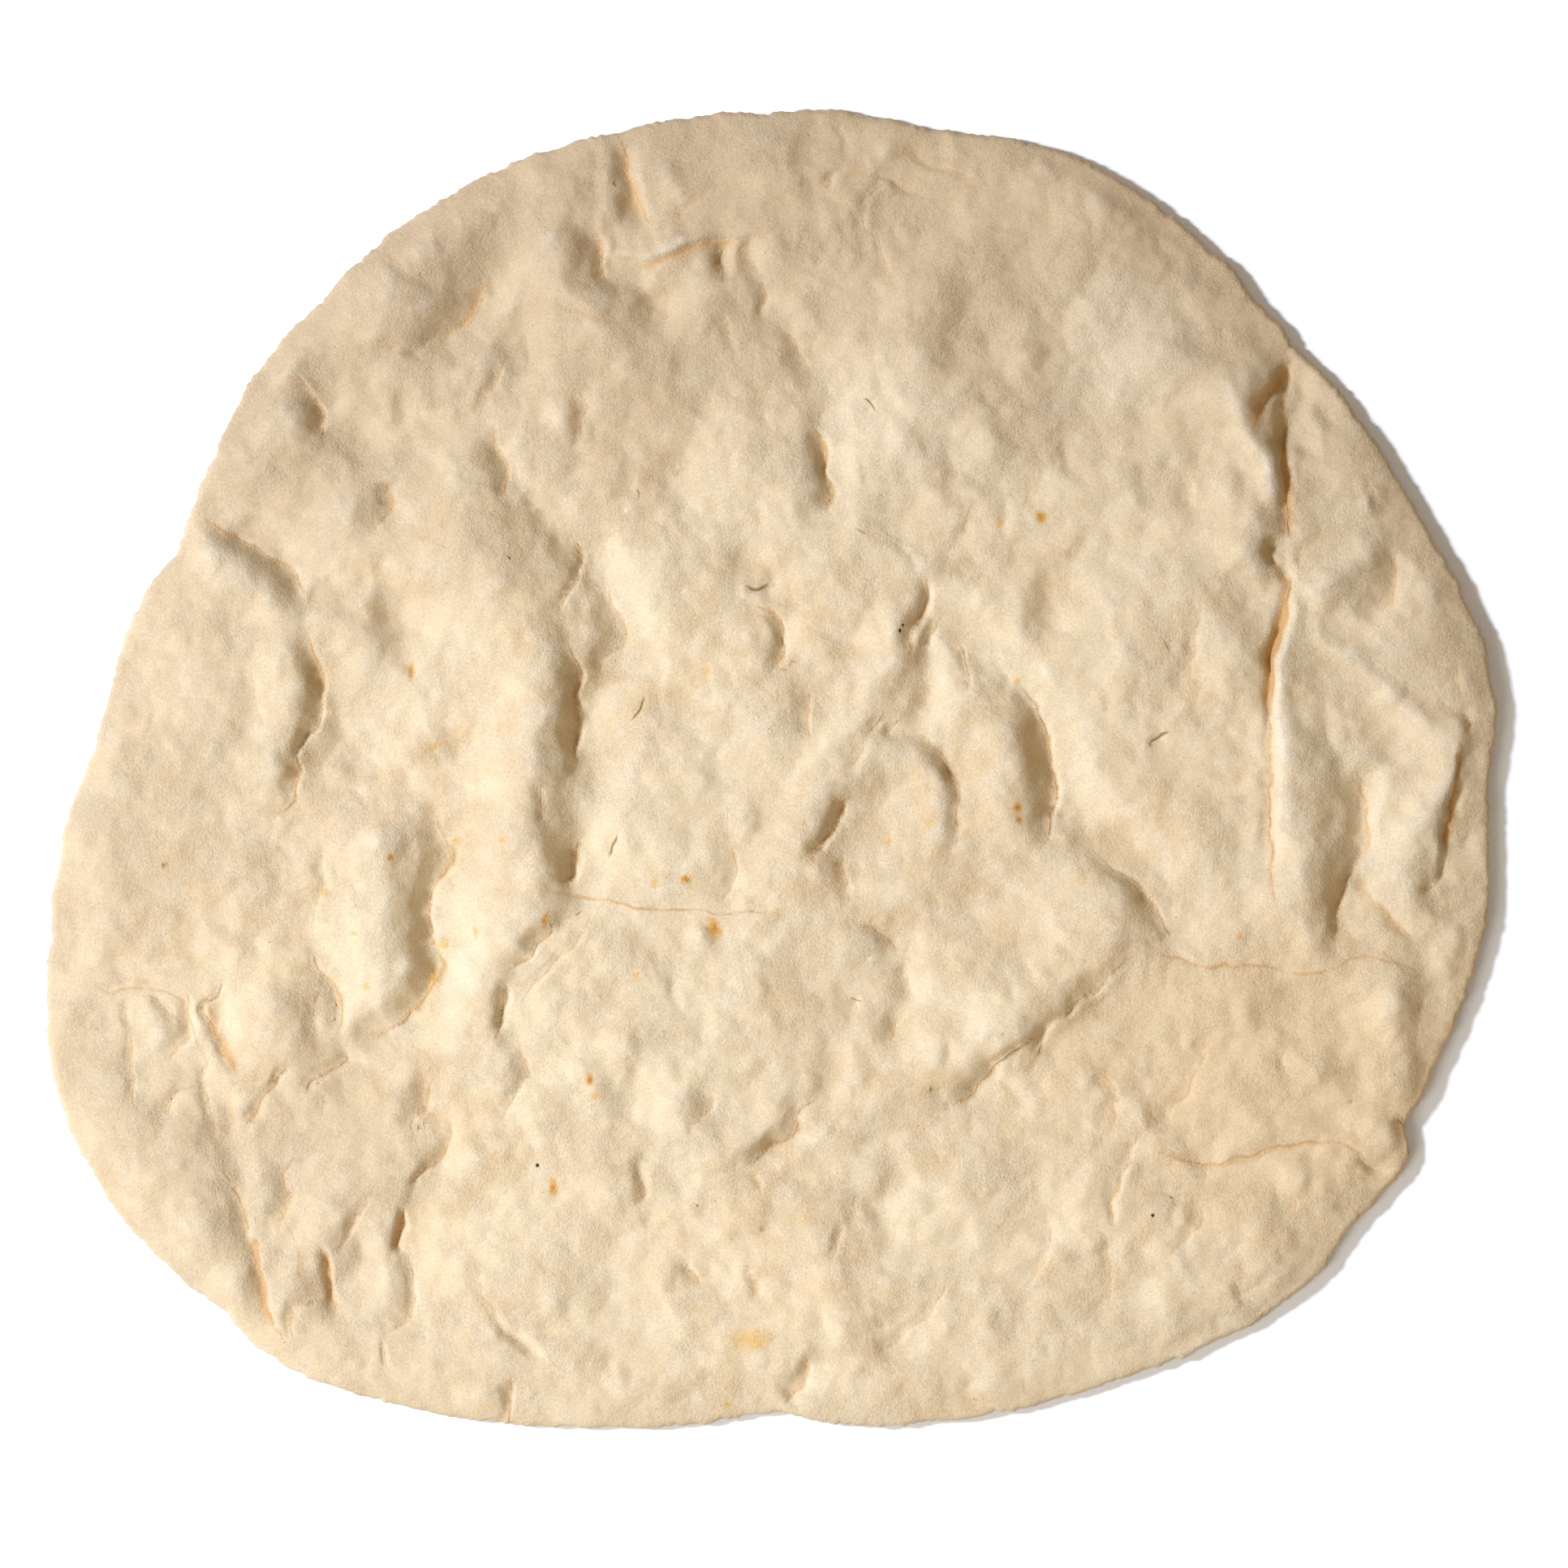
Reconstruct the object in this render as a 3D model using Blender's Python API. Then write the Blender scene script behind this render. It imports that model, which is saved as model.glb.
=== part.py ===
"""A par-baked pizza base: one flat, round, lumpy piece of pale dough, made as one closed solid.

The dough lies on its flat underside, with +Z up and its deep fold on the +X side. The origin is
in the middle of its outline, on the underside. Sizes in the tables below are in millimetres.
"""
import math

import bmesh
import bpy
import numpy as np

MM = 0.001

# Driving dimensions, in millimetres
THICKNESS = 6.0        # of the dough away from its edge, before mounds and valleys
EDGE_THICKNESS = 4.2   # of the dough where its rounded edge begins
EDGE_SLOPE_REACH = 13  # how far in from the outline the dough reaches its full thickness
EDGE_ROUNDING = 2.2    # how far in from the outline the rounding of the edge reaches
EDGE_WIDEST_AT = 0.45  # height of the widest line of the edge, as a share of the height there
THINNEST = 1.6         # dough left under the deepest fold
EDGE_RELIEF = 0.35     # share of their height that mounds and valleys have at the edge
RELIEF_FADE = 8.0      # for each such way further in from the edge, that share grows by 1, up to 1
RELIEF_HEIGHT = 1.4    # height of mounds and valleys for each 1 in the tables below
RELIEF_REACH = 1.22    # their reach for each 1 in the tables
RIDGE_ENDS = 0.2       # share of a ridge's length over which it sinks towards each end
RIDGE_END_HEIGHT = 0.1  # share of its height that it still has at its ends
OUTLINE_SPACING = 1.0  # between the points of the outline's curve
LINE_SPACING = 2.0     # between the points of a ridge's line

# Mesh density: a fine grid is made first, and then thinned out where the dough is nearly flat
GRID_POINTS = 129      # across the top
EDGE_STEPS = 6         # rings of faces round the edge, from the top to the underside
SHARE_KEPT = 0.24      # of the fine mesh's triangles

# The outline, clockwise from the middle of the far edge. It is uneven: a fold of the dough makes
# the notch near (115, 93), a lap of it the step near (140, -88).
OUTLINE = [
    (0, 144.6), (15, 145.1), (34.5, 141.2), (60, 137.3), (80, 127.7), (99, 112.5), (110.2, 99.4),
    (113.8, 95.8), (114.9, 93.2), (117.6, 91.2), (124.6, 83.8), (132.2, 73.4), (144, 54),
    (155.5, 32), (159.8, 13), (158.2, -5), (158.2, -30), (153.5, -49), (144.5, -70), (140.2, -78),
    (139.8, -87.5), (129, -99.8), (118, -113.8), (100, -125.5), (75, -135.2), (50, -142),
    (20, -144.9), (0, -142), (-22, -145), (-58, -144.4), (-85, -139.6), (-107.5, -131.6),
    (-120.8, -120), (-139, -104), (-151.5, -86), (-158, -69.5), (-159.8, -50), (-156.6, -17),
    (-148.5, 7), (-143, 27.5), (-137.6, 39.6), (-134.4, 43.6), (-131.4, 47.2), (-129.4, 51.6),
    (-128.2, 56.4), (-115, 85), (-98.5, 104), (-82, 119.3), (-55, 134.3), (-20, 143.4),
]

# Ridges, and valleys where the height is below 0: the height, how far it reaches on the -X side
# and on the +X side of the line, and the line, which runs from the far edge towards the near one.
RIDGES = [
    (1.3, 8, 7, [(-43, 138), (-43, 124), (-45, 112), (-41, 101), (-36, 95), (-32, 88), (-25, 82),
        (-22, 78)]),
    (1.7, 7, 5, [(-130, 55), (-124, 49), (-117, 42), (-110, 37), (-107, 30), (-106, 18), (-107, 6),
        (-110, 0), (-112, -7), (-114, -12)]),
    (1.9, 11, 10, [(-69, 73), (-68, 60), (-66, 50), (-63, 42), (-58, 34)]),
    (2.7, 11, 8, [(-58, 38), (-53, 28), (-51, 18), (-52, 6), (-55, -4), (-56, -12), (-53, -22),
        (-55, -32), (-60, -42), (-64, -50), (-65, -60)]),
    (1.6, 9, 7, [(-88, -8), (-87, -18), (-86, -28), (-85, -37), (-87, -50)]),
    (1.2, 10, 8, [(-146, -58), (-145, -70), (-140, -82), (-134, -94), (-127, -103), (-118, -112)]),
    (1.2, 5, 5, [(-98, -92), (-100, -103), (-104, -112), (-107, -122)]),
    (1.4, 6, 5, [(-17, -66), (-20, -74), (-17, -81), (-10, -84), (-3, -79), (2, -72), (5, -67)]),
    (1.4, 8, 8, [(34, 113), (32, 103), (31, 93), (33, 86), (40, 81), (47, 78), (51, 73)]),
    (0.9, 5, 5, [(34, 70), (36, 64), (38, 57)]),
    (2, 7, 6, [(22, 42), (27, 36), (27, 29), (24, 21), (20, 13), (17, 5), (11, -5), (8, -13),
        (6, -21), (8, -31)]),
    (1.3, 4, 4, [(16, 1), (24, 4), (32, 2), (36, -6), (36, -15), (34, -22)]),
    (2.1, 8, 6, [(52, 14), (52, 4), (52, -8), (51, -17)]),
    (1.3, 9, 9, [(66, 130), (72, 122), (79, 111), (81, 102)]),
    (1.8, 9, 7, [(87, 98), (88, 89), (96, 85), (103, 80), (106, 74)]),
    (1.9, 3.5, 3.5, [(104, 76), (108, 70), (110, 64), (112.5, 58)]),
    (1.3, 8, 7, [(88, 42), (95, 38), (100, 30), (101, 20), (97, 14)]),
    (1.6, 4.5, 4.5, [(133, 50), (127, 44), (122, 38), (119, 34)]),
    (2.2, 8, 8, [(112, 16), (115, 6), (117, -6), (117, -20), (116, -31), (120, -38), (123, -43)]),
    (1.9, 6, 5, [(143, 13), (150, 8), (150, 0), (147, -8), (142, -18), (140, -27), (144, -33),
        (149, -36)]),
    (1.5, 10, 7, [(60, -22), (70, -27), (77, -34), (72, -42), (62, -49), (52, -56), (42, -63),
        (34, -68), (24, -73)]),
    # valleys
    (-1.9, 4.5, 5, [(-31, 137), (-30, 130), (-29, 119), (-28, 113)]),
    (-1.2, 5, 5, [(-38, 113), (-33, 110), (-27, 106)]),
    (-2.2, 8, 6, [(-58, 119), (-61, 110), (-63, 103), (-69, 97), (-77, 92)]),
    (-1.5, 6, 7, [(-58, 101), (-55, 93), (-51, 86)]),
    (-1, 6, 6, [(-99, 84), (-96, 78), (-91, 74), (-88, 67)]),
    (-1, 3, 3, [(-85, 64), (-84, 58), (-83, 52)]),
    (-1.9, 5, 6, [(-121, 54), (-113, 51), (-106, 46), (-101, 41)]),
    (-1, 5, 6, [(-88, 43), (-96, 42), (-103, 43)]),
    (-1.5, 7, 8, [(-100, 27), (-97, 17), (-92, 8), (-97, 0)]),
    (-1, 4, 3, [(-60, 73), (-58, 66), (-57, 60)]),
    (-2.5, 6, 8, [(-57, 62), (-48, 56), (-41, 48), (-37, 39), (-33, 28), (-37, 20), (-40, 12),
        (-40, 4), (-40, -3), (-42, -13), (-41, -23), (-41, -33)]),
    (-2.3, 6, 9, [(-77, -3), (-73, -11), (-71, -20), (-73, -31), (-73, -41), (-77, -52), (-85, -59),
        (-93, -65), (-96, -70)]),
    (-1.3, 4, 7, [(-54, -38), (-57, -47), (-58, -56), (-56, -65)]),
    (-1.2, 2.5, 3, [(-123, -49), (-121, -55), (-119, -61)]),
    (-1.4, 4, 4, [(-125, -67), (-121, -76), (-118, -85), (-116, -95), (-113, -105)]),
    (-1, 3, 3, [(-105, -87), (-107, -94), (-109, -101)]),
    (-1.1, 4, 5, [(-90, -98), (-92, -108), (-95, -117), (-95, -125)]),
    (-1.5, 5, 5, [(-75, -66), (-75, -74), (-74, -86), (-77, -96), (-79, -106), (-78, -113), (-78, -120)]),
    (-0.9, 4, 4, [(-28, -66), (-31, -72), (-33, -78)]),
    (-1.5, 5, 5, [(-2, 111), (1, 101), (7, 92), (11, 85), (12, 75), (13, 64), (13, 54)]),
    (-1, 4, 4, [(-10, 51), (-4, 45), (2, 40), (3, 32), (4, 22)]),
    (-1.9, 6, 7, [(36, 37), (43, 30), (50, 23), (58, 13), (63, 3), (66, -6), (72, -14), (82, -19),
        (86, -28), (91, -36), (93, -42)]),
    (-1.1, 3, 4, [(35, 30), (34, 20), (33, 12), (28, 9)]),
    (-1.2, 4, 4, [(36, 5), (40, 0), (43, -8)]),
    (-1.6, 5, 5, [(27, -33), (28, -40), (30, -49), (27, -57), (26, -62)]),
    (-2.3, 5, 4, [(115, 91), (115, 82), (115, 74), (116, 67)]),
    (-1.2, 2.5, 2.5, [(111, 53), (113, 46), (114, 40)]),
    (-1.2, 6, 7, [(117, 31), (121, 23), (128, 16), (136, 8), (139, 0)]),
    (-1.3, 4, 3, [(140, 47), (136, 40), (131, 32)]),
    (-1.9, 4, 4, [(130, 3), (131, -6), (130, -14), (131, -23), (128, -31), (128, -40)]),
    (-0.9, 3, 4, [(153, -12), (150, -18), (148, -27)]),
    (-1.9, 6, 9, [(83, -42), (78, -50), (72, -56), (63, -62), (55, -67), (47, -72), (38, -77)]),
    (-1.4, 4, 4, [(12, -59), (12, -68), (10, -76), (3, -81), (-4, -88)]),
    (-1.4, 4, 4, [(27, -82), (27, -90), (24, -97), (29, -107)]),
    (-1.4, 4, 4, [(12, -128), (9, -134), (3, -141)]),
    # the deep fold that starts at the notch
    (-1.4, 3, 1.8, [(115.2, 94), (114.4, 89.5), (112.4, 84.5), (113.6, 74.5), (112, 69),
        (113.6, 61.5), (114, 53)]),
    (-1.3, 3, 2.5, [(113, 56), (112, 46), (114.7, 41), (112.6, 32.5), (110.5, 25), (110, 12)]),
]

# Mounds, and hollows where the height is below 0: x, y, how far each reaches towards -X, towards
# +X and to each side, its turn in degrees, and its height.
MOUNDS = [
    (-45, 112, 7, 5, 10, 0, 1.6), (-2, 137, 8, 8, 8, 0, 1), (-83, 104, 9, 8, 10, 0, 1.6),
    (-107, 77, 8, 7, 10, 0, 1.7), (-94, 56, 8, 6, 6, 0, 1.1), (-46, 76, 5, 4, 6, 0, 1.5),
    (-37, 65, 5, 5, 7, 0, 1.2), (-109, -56, 8, 8, 13, 0, 1.9), (-62, -131, 8, 8, 10, 0, 1.3),
    (-32, -59, 7, 7, 8, 0, 1), (-41, -68, 7, 5, 6, 0, 1), (-36, -89, 10, 6, 10, 0, 1.2),
    (11, -111, 8, 8, 13, 0, 0.9), (44, -94, 9, 9, 13, 0, 0.9), (55, -132, 12, 13, 6, 0, 1.1),
    (-5, 28, 6, 6, 11, 0, 0.9), (1, 10, 7, 6, 10, 0, 1), (3, 60, 12, 8, 14, 0, 1.2),
    (102, 82, 9, 6, 9, 0, 1.4), (105, 51, 9, 5.5, 10, 0, 2.6), (149, -41, 4, 4, 6, 0, 0.9),
    (137, -50, 8, 7, 10, 0, 2.5), (139, -65, 6, 5, 9, 0, 1.6), (135, -79, 5, 4, 5, 0, 1.1),
    (121, -66, 6, 5, 6, 0, 1.2), (102, -53, 10, 7, 6, 0, 1), (51, -57, 9, 9, 7, 35, 1),
    (81, -78, 5, 5, 5, 0, 1), (108, -96, 8, 6, 6, 0, 1), (111, -108, 8, 7, 9, 0, 1.3),
    (89, -120, 7, 7, 9, 0, 1.2), (-24.5, 102.5, 6, 7, 6, 0, -2), (-10, 113, 4, 3, 5, 0, -1.6),
    (-4, 113, 4, 4, 5, 0, -1.1), (-81.5, 33, 8, 8, 10, 0, -2.5), (-129, -56, 2.5, 2.5, 4, 0, -1.1),
    (34.5, 137, 5, 5, 6, 0, -1.1), (67, 86, 9, 9, 15, 0, -1.3), (62.5, 37, 6, 7, 9, 0, -1.8),
    (22, -13, 9, 8, 13, -22, -1.5), (129, -68, 4, 4, 4, 0, -0.9), (60, -102, 4, 4, 6, 0, -0.9),
]

DOUGH_COLOUR = (0.80, 0.63, 0.41, 1.0)
DOUGH_ROUGHNESS = 0.8


def smooth_line(points, spacing, closed=False):
    """Points about every spacing along a smooth curve through the given points."""
    given = np.asarray(points, float)
    if closed:
        padded = np.vstack([given[-1], given, given[:2]])
    else:
        padded = np.vstack([2 * given[0] - given[1], given, 2 * given[-1] - given[-2]])
    pieces = []
    for before, start, end, after in zip(padded, padded[1:], padded[2:], padded[3:]):
        count = max(2, math.ceil(np.linalg.norm(end - start) / spacing))
        t = np.linspace(0, 1, count, endpoint=False)[:, None]
        bend = 2 * before - 5 * start + 4 * end - after
        twist = 3 * start - before - 3 * end + after
        pieces.append(start + 0.5 * ((end - before) * t + bend * t**2 + twist * t**3))
    if not closed:
        pieces.append(padded[-2][None])
    return np.concatenate(pieces)


def centred_outline():
    """The outline's curve, moved so that the middle of its box is the origin."""
    curve = smooth_line(OUTLINE, OUTLINE_SPACING, closed=True)
    return curve - (curve.min(axis=0) + curve.max(axis=0)) / 2


def outline_radius(angle, curve):
    """How far the outline is from the origin in each direction."""
    directions = np.arctan2(curve[:, 1], curve[:, 0])
    order = np.argsort(directions)
    radii = np.hypot(curve[:, 0], curve[:, 1])[order]
    return np.interp(angle, directions[order], radii, period=2 * math.pi)


def smooth_step(t):
    t = np.clip(t, 0, 1)
    return t * t * (3 - 2 * t)


def ridge(x, y, height, reach_left, reach_right, line):
    """The height that one ridge or valley adds at x, y. It sinks towards the line's ends."""
    points = smooth_line(line, LINE_SPACING)
    steps = points[1:] - points[:-1]
    lengths = np.hypot(steps[:, 0], steps[:, 1])
    starts = np.concatenate([[0], np.cumsum(lengths)])
    nearest = np.full(x.shape, np.inf)
    side = np.zeros(x.shape)
    along = np.zeros(x.shape)
    for (ax, ay), (sx, sy), length, start in zip(points, steps, lengths, starts):
        dx, dy = x - ax, y - ay
        t = np.clip((dx * sx + dy * sy) / length**2, 0, 1)
        distance = np.hypot(dx - t * sx, dy - t * sy)
        closer = distance < nearest
        nearest = np.where(closer, distance, nearest)
        side = np.where(closer, sx * dy - sy * dx, side)
        along = np.where(closer, start + t * length, along)
    share = along / starts[-1]
    ends = smooth_step(share / RIDGE_ENDS) * smooth_step((1 - share) / RIDGE_ENDS)
    reach = RELIEF_REACH * np.where(side > 0, reach_right, reach_left)
    r = np.clip(nearest / reach, 0, 1)
    return height * (RIDGE_END_HEIGHT + (1 - RIDGE_END_HEIGHT) * ends) * (1 - r * r) ** 2


def mound(x, y, middle_x, middle_y, reach_left, reach_right, half_width, turn, height):
    """The height that one mound or hollow adds at x, y."""
    cosine, sine = math.cos(math.radians(turn)), math.sin(math.radians(turn))
    dx, dy = x - middle_x, y - middle_y
    across = dx * cosine + dy * sine
    along = dy * cosine - dx * sine
    reach = np.where(across < 0, reach_left, reach_right)
    r = np.clip(np.hypot(across / reach, along / half_width) / RELIEF_REACH, 0, 1)
    return height * (1 - r * r) ** 2


def top_height(x, y, curve):
    """The height of the dough's top at x, y, in millimetres."""
    inset = outline_radius(np.arctan2(y, x), curve) - np.hypot(x, y)
    rise = 1 - (1 - np.clip(inset / EDGE_SLOPE_REACH, 0, 1)) ** 2
    relief = np.zeros_like(x)
    for row in RIDGES:
        relief += ridge(x, y, *row)
    for row in MOUNDS:
        relief += mound(x, y, *row)
    relief *= RELIEF_HEIGHT * np.clip(EDGE_RELIEF + inset / RELIEF_FADE, 0, 1)
    height = EDGE_THICKNESS + (THICKNESS - EDGE_THICKNESS) * rise + relief
    return np.maximum(height, THINNEST)


def square_to_round(a, b):
    """Where a point of the square from -1 to 1 lies on the unit disc, as x and y."""
    wide = np.abs(a) > np.abs(b)
    radius = np.where(wide, a, b)
    ratio = np.where(wide, b, a) / np.where(radius == 0, 1, radius)
    angle = np.where(wide, ratio * math.pi / 4, math.pi / 2 - ratio * math.pi / 4)
    return radius * np.cos(angle), radius * np.sin(angle)


def place_top(mesh, curve):
    """Spreads a flat square grid over the dough's top, as far as its rounded edge."""
    spots = np.array([vertex.co[:2] for vertex in mesh.verts])
    x, y = square_to_round(spots[:, 0], spots[:, 1])
    radius = outline_radius(np.arctan2(y, x), curve) - EDGE_ROUNDING
    x, y = x * radius, y * radius
    z = top_height(x, y, curve)
    for vertex, place in zip(mesh.verts, np.column_stack([x, y, z]) * MM):
        vertex.co = place


def add_edge(mesh, curve):
    """Rolls the grid's border over the rounded edge and in under it, and closes the underside."""
    border = [item for item in mesh.edges if item.is_boundary]
    for step in range(1, EDGE_STEPS + 1):
        turn = math.pi * step / EDGE_STEPS
        grown = bmesh.ops.extrude_edge_only(mesh, edges=border)["geom"]
        border = [item for item in grown if isinstance(item, bmesh.types.BMEdge)]
        ring = [item for item in grown if isinstance(item, bmesh.types.BMVert)]
        angle = np.array([math.atan2(vertex.co.y, vertex.co.x) for vertex in ring])
        outline = outline_radius(angle, curve)
        start = outline - EDGE_ROUNDING
        top = top_height(start * np.cos(angle), start * np.sin(angle), curve)
        widest = EDGE_WIDEST_AT * top
        if turn < math.pi / 2:
            z = widest + (top - widest) * math.cos(turn)
        else:
            z = widest * (1 + math.cos(turn))
        radius = outline - EDGE_ROUNDING * (1 - math.sin(turn))
        places = np.column_stack([radius * np.cos(angle), radius * np.sin(angle), z]) * MM
        for vertex, place in zip(ring, places):
            vertex.co = place
    bmesh.ops.contextual_create(mesh, geom=border)


def dough_material():
    material = bpy.data.materials.new("dough")
    material.use_nodes = True
    shader = material.node_tree.nodes["Principled BSDF"]
    shader.inputs["Base Color"].default_value = DOUGH_COLOUR
    shader.inputs["Roughness"].default_value = DOUGH_ROUGHNESS
    shader.inputs["Metallic"].default_value = 0.0
    return material


def make_pizza_base(collection):
    curve = centred_outline()
    mesh = bmesh.new()
    cells = GRID_POINTS - 1
    bmesh.ops.create_grid(mesh, x_segments=cells, y_segments=cells, size=1.0)
    place_top(mesh, curve)
    add_edge(mesh, curve)
    bmesh.ops.recalc_face_normals(mesh, faces=mesh.faces)
    data = bpy.data.meshes.new("pizza_base")
    mesh.to_mesh(data)
    mesh.free()
    data.shade_smooth()
    data.materials.append(dough_material())
    obj = bpy.data.objects.new("pizza_base", data)
    collection.objects.link(obj)
    split = obj.modifiers.new("short_diagonals", "TRIANGULATE")
    split.quad_method = "SHORTEST_DIAGONAL"
    thin = obj.modifiers.new("fewer_faces_where_flat", "DECIMATE")
    thin.ratio = SHARE_KEPT
    return obj


def main():
    for obj in list(bpy.data.objects):
        bpy.data.objects.remove(obj, do_unlink=True)
    collection = bpy.data.collections.new("pizza_base")
    bpy.context.scene.collection.children.link(collection)
    make_pizza_base(collection)


main()
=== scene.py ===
"""The looks of a pale par-baked pizza base: its whole relief, edge, browning, flour and painted light and
shade.

Sizes in the tables are in millimetres, in the solid's frame, with +X to the right, +Y away from the
viewer and +Z up. The relief is drawn as a height field first, from the folds, creases and bumps in
the tables. A fine round mesh is then laid over it and rolled round the edge to the underside.
"""
import math

import bmesh
import bpy
import numpy as np
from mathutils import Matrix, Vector


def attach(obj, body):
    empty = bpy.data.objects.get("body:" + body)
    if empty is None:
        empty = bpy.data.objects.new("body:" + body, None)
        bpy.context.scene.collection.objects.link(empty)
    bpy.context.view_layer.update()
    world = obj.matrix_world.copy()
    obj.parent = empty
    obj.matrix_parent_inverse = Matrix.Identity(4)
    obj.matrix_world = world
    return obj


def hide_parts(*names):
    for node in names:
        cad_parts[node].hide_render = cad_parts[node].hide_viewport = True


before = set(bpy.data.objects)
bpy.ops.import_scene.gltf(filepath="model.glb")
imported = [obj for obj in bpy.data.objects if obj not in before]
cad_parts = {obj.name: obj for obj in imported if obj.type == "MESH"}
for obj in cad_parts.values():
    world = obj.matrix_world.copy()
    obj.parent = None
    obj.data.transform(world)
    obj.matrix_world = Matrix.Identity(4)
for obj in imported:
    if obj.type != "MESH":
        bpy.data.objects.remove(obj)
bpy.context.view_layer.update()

MM = 0.001


def number_rows(text):
    """A table's rows of numbers, which have commas between them."""
    return [tuple(float(number) for number in row.split()) for row in text.split(",")]


def line_rows(text):
    """A table's rows of numbers, each with the points of a line after a colon. A row that is longer
    than one line of the table has a comma where it is broken."""
    rows = [row.split(":") for row in text.strip().replace(",\n", ",").splitlines()]
    return [(*number_rows(numbers)[0], number_rows(points)) for numbers, points in rows]


def linear(red, green, blue):
    """A colour as it looks on a screen, from 0 to 255, as the light that it stands for."""
    shares = [value / 255 for value in (red, green, blue)]
    return (*[s / 12.92 if s <= 0.04045 else ((s + 0.055) / 1.055) ** 2.4 for s in shares], 1.0)


# The dough
THICKNESS = 6.0        # away from its edge, before bumps and folds
EDGE_THICKNESS = 4.2   # where its rounded edge begins
EDGE_SLOPE_REACH = 13  # how far in from the outline the dough reaches its full thickness
EDGE_ROUNDING = 1.6    # how far in from the outline the rounding of the edge reaches
EDGE_WIDEST_AT = 0.4   # height of the widest line of the edge, as a share of the height there
THINNEST = 1.3         # dough left under the deepest fold
EDGE_RELIEF = 0.35     # share of their height that bumps and folds have at the edge itself
RELIEF_FADE = 8.0      # for each such way further in from the edge, that share grows by 1, up to 1

# The height field and the mesh
FIELD_STEP = 0.4
FIELD_HALF_X, FIELD_HALF_Y = 166, 152
LAST_CELL = 1.001                    # places are kept this many steps inside the field's far ends
OUTLINE_SPACING = 0.5
GRID_CELLS = 640   # across the mesh, before it is thinned out
EDGE_STEPS = 10                      # rings of faces round the edge
BORDER_SHARE = 0.9999                # a vertex this far out from the disc's middle is on its border
MOST_TRIANGLES = 190_000

# The fine unevenness of the outline: how many waves go round the edge and how high they are. Each
# of these is a sum of waves whose numbers are spread a little
EDGE_SEED = 5
EDGE_GROWTH = 0.5      # how far outside the outline the edge is all round
EDGE_WAVES = [(60, 0.10), (150, 0.07), (380, 0.05)]
EDGE_WAVE_SPREAD = (0.8, 0.93, 1.0, 1.13, 1.3)

# Ridges, valleys, mounds and hollows
LINE_SPACING = 1.5        # between the places on a line's smooth curve
FORM_STRENGTH = 0.86      # the heights in the tables are multiplied by this
SMALL_STRENGTH = 0.85     # and those of the smaller mounds by this
FORM_REACH = 1.22         # and how far all of them reach by this
RIDGE_END_SHARE = 0.2     # share of a ridge's length over which it sinks towards each end
RIDGE_END_HEIGHT = 0.1    # share of its height that it still has at its ends
BROAD_REACH = 4.5         # relief broader than this stands out more
BROAD_SHARE = 0.85        # how much more
PLACE_MARGIN = 4          # more than the most that places are shifted

# Creases
CREASE_STRENGTH = 0.52    # the depths in the table are multiplied by this
CREASE_WIDTH = 1.1        # and how far the walls reach by this
LEAST_CREASE_REACH = 1.0
CREASE_SOFTNESS = 0.4     # how round the bottom of a crease is
CREASE_END_SHARE = 0.3    # share of a crease's length over which it fades out at each end

# Random shifts and relief: the size of the lumps, and how far they shift places or how high they are
SHIFT_SEED = 7
PLACE_SHIFTS = [(16, 0.5), (6, 0.4)]
CREASE_SHIFT_SEED = 31
CREASE_SHIFTS = [(2.4, 0.22)]
LUMP_SEED = 21
LUMPS = [(30, 0.35), (14, 0.16), (2.6, 0.055), (1.6, 0.03)]
LUMP_SIZE_PER_BLUR = 2.7
BILLOW_SEED = 41
BILLOWS = [(9, 0.11), (6, 0.10), (4, 0.07)]
BILLOW_SOFTNESS = 0.15

# Fine lines that show only by painted shade in their colour
LINE_END_SHARE = 0.2      # share of a fine line's length over which it fades out at each end
LINE_GAP = 1.5            # a line shows only where it is nearer than any other by more than this
LINE_SIDE_REACH = 2.8     # how far beside a fine line it can show
OFFSET_REACH = 5.5        # how far beside a fine line its offset is kept
LINE_FADE = (1.8, 0.2)    # where beside its middle a line is gone and where full, in half widths
FOLD_SHADE_FADES = [(-5.5, 0.5), (0.9, 0.1)]    # the same on the slow side and the sharp side of a fold's painted shade
CREASE_SHOWN = 0.6        # how strongly a crease's line shows for each millimetre of its depth
CREASE_LINE_HALF_WIDTH = 0.45
CREASE_SHADE_TINT = 0.45        # how much of the line's painted shade a crease takes on
CREASE_WALL_REACH = 1.9   # how far beside a crease its walls reach in the material's relief,
CREASE_WALL_DEPTH = 1.2   # and how deep they go there, in heights of the bumps of the crumb

# The noises of the material: the size of the lumps in millimetres, detail and roughness
NOISES = {
    "warm": (28, 3, 0.5), "pale": (6, 3, 0.5), "middle": (25, 3, 0.5), "uneven": (2.2, 3, 0.6),
    "broken": (3.5, 3, 0.6), "spots": (1.2, 4, 0.7), "grain": (0.5, 3, 0.7),
    "fine": (0.55, 4, 0.75), "pores": (2.4, 4, 0.6), "rough": (14, 3, 0.5),
}
MIDDLE_UNEVENNESS = 0.5   # how much noise is added to the distances from the middle of the dough,
UNEVENNESS = 0.5          # to the depths of hollows and to the offsets of lines,
SPOT_UNEVENNESS = 2.2     # and to the distances from spots
BROKEN_RANGE = (0.2, 0.6)    # lines and creases break off where the noise is low
GRAIN_RANGE = (0.3, 0.7)
GRAIN_CONTRAST = 0.21
ROUGH_RANGE = (0.4, 0.6, 1.2, 0.4)    # range of the noise, and how rough the crumb is above and below
HOLLOW_REACHES = [(1.0, 1.0), (3.0, 0.8)]    # hollows of each size, and how much they count

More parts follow.
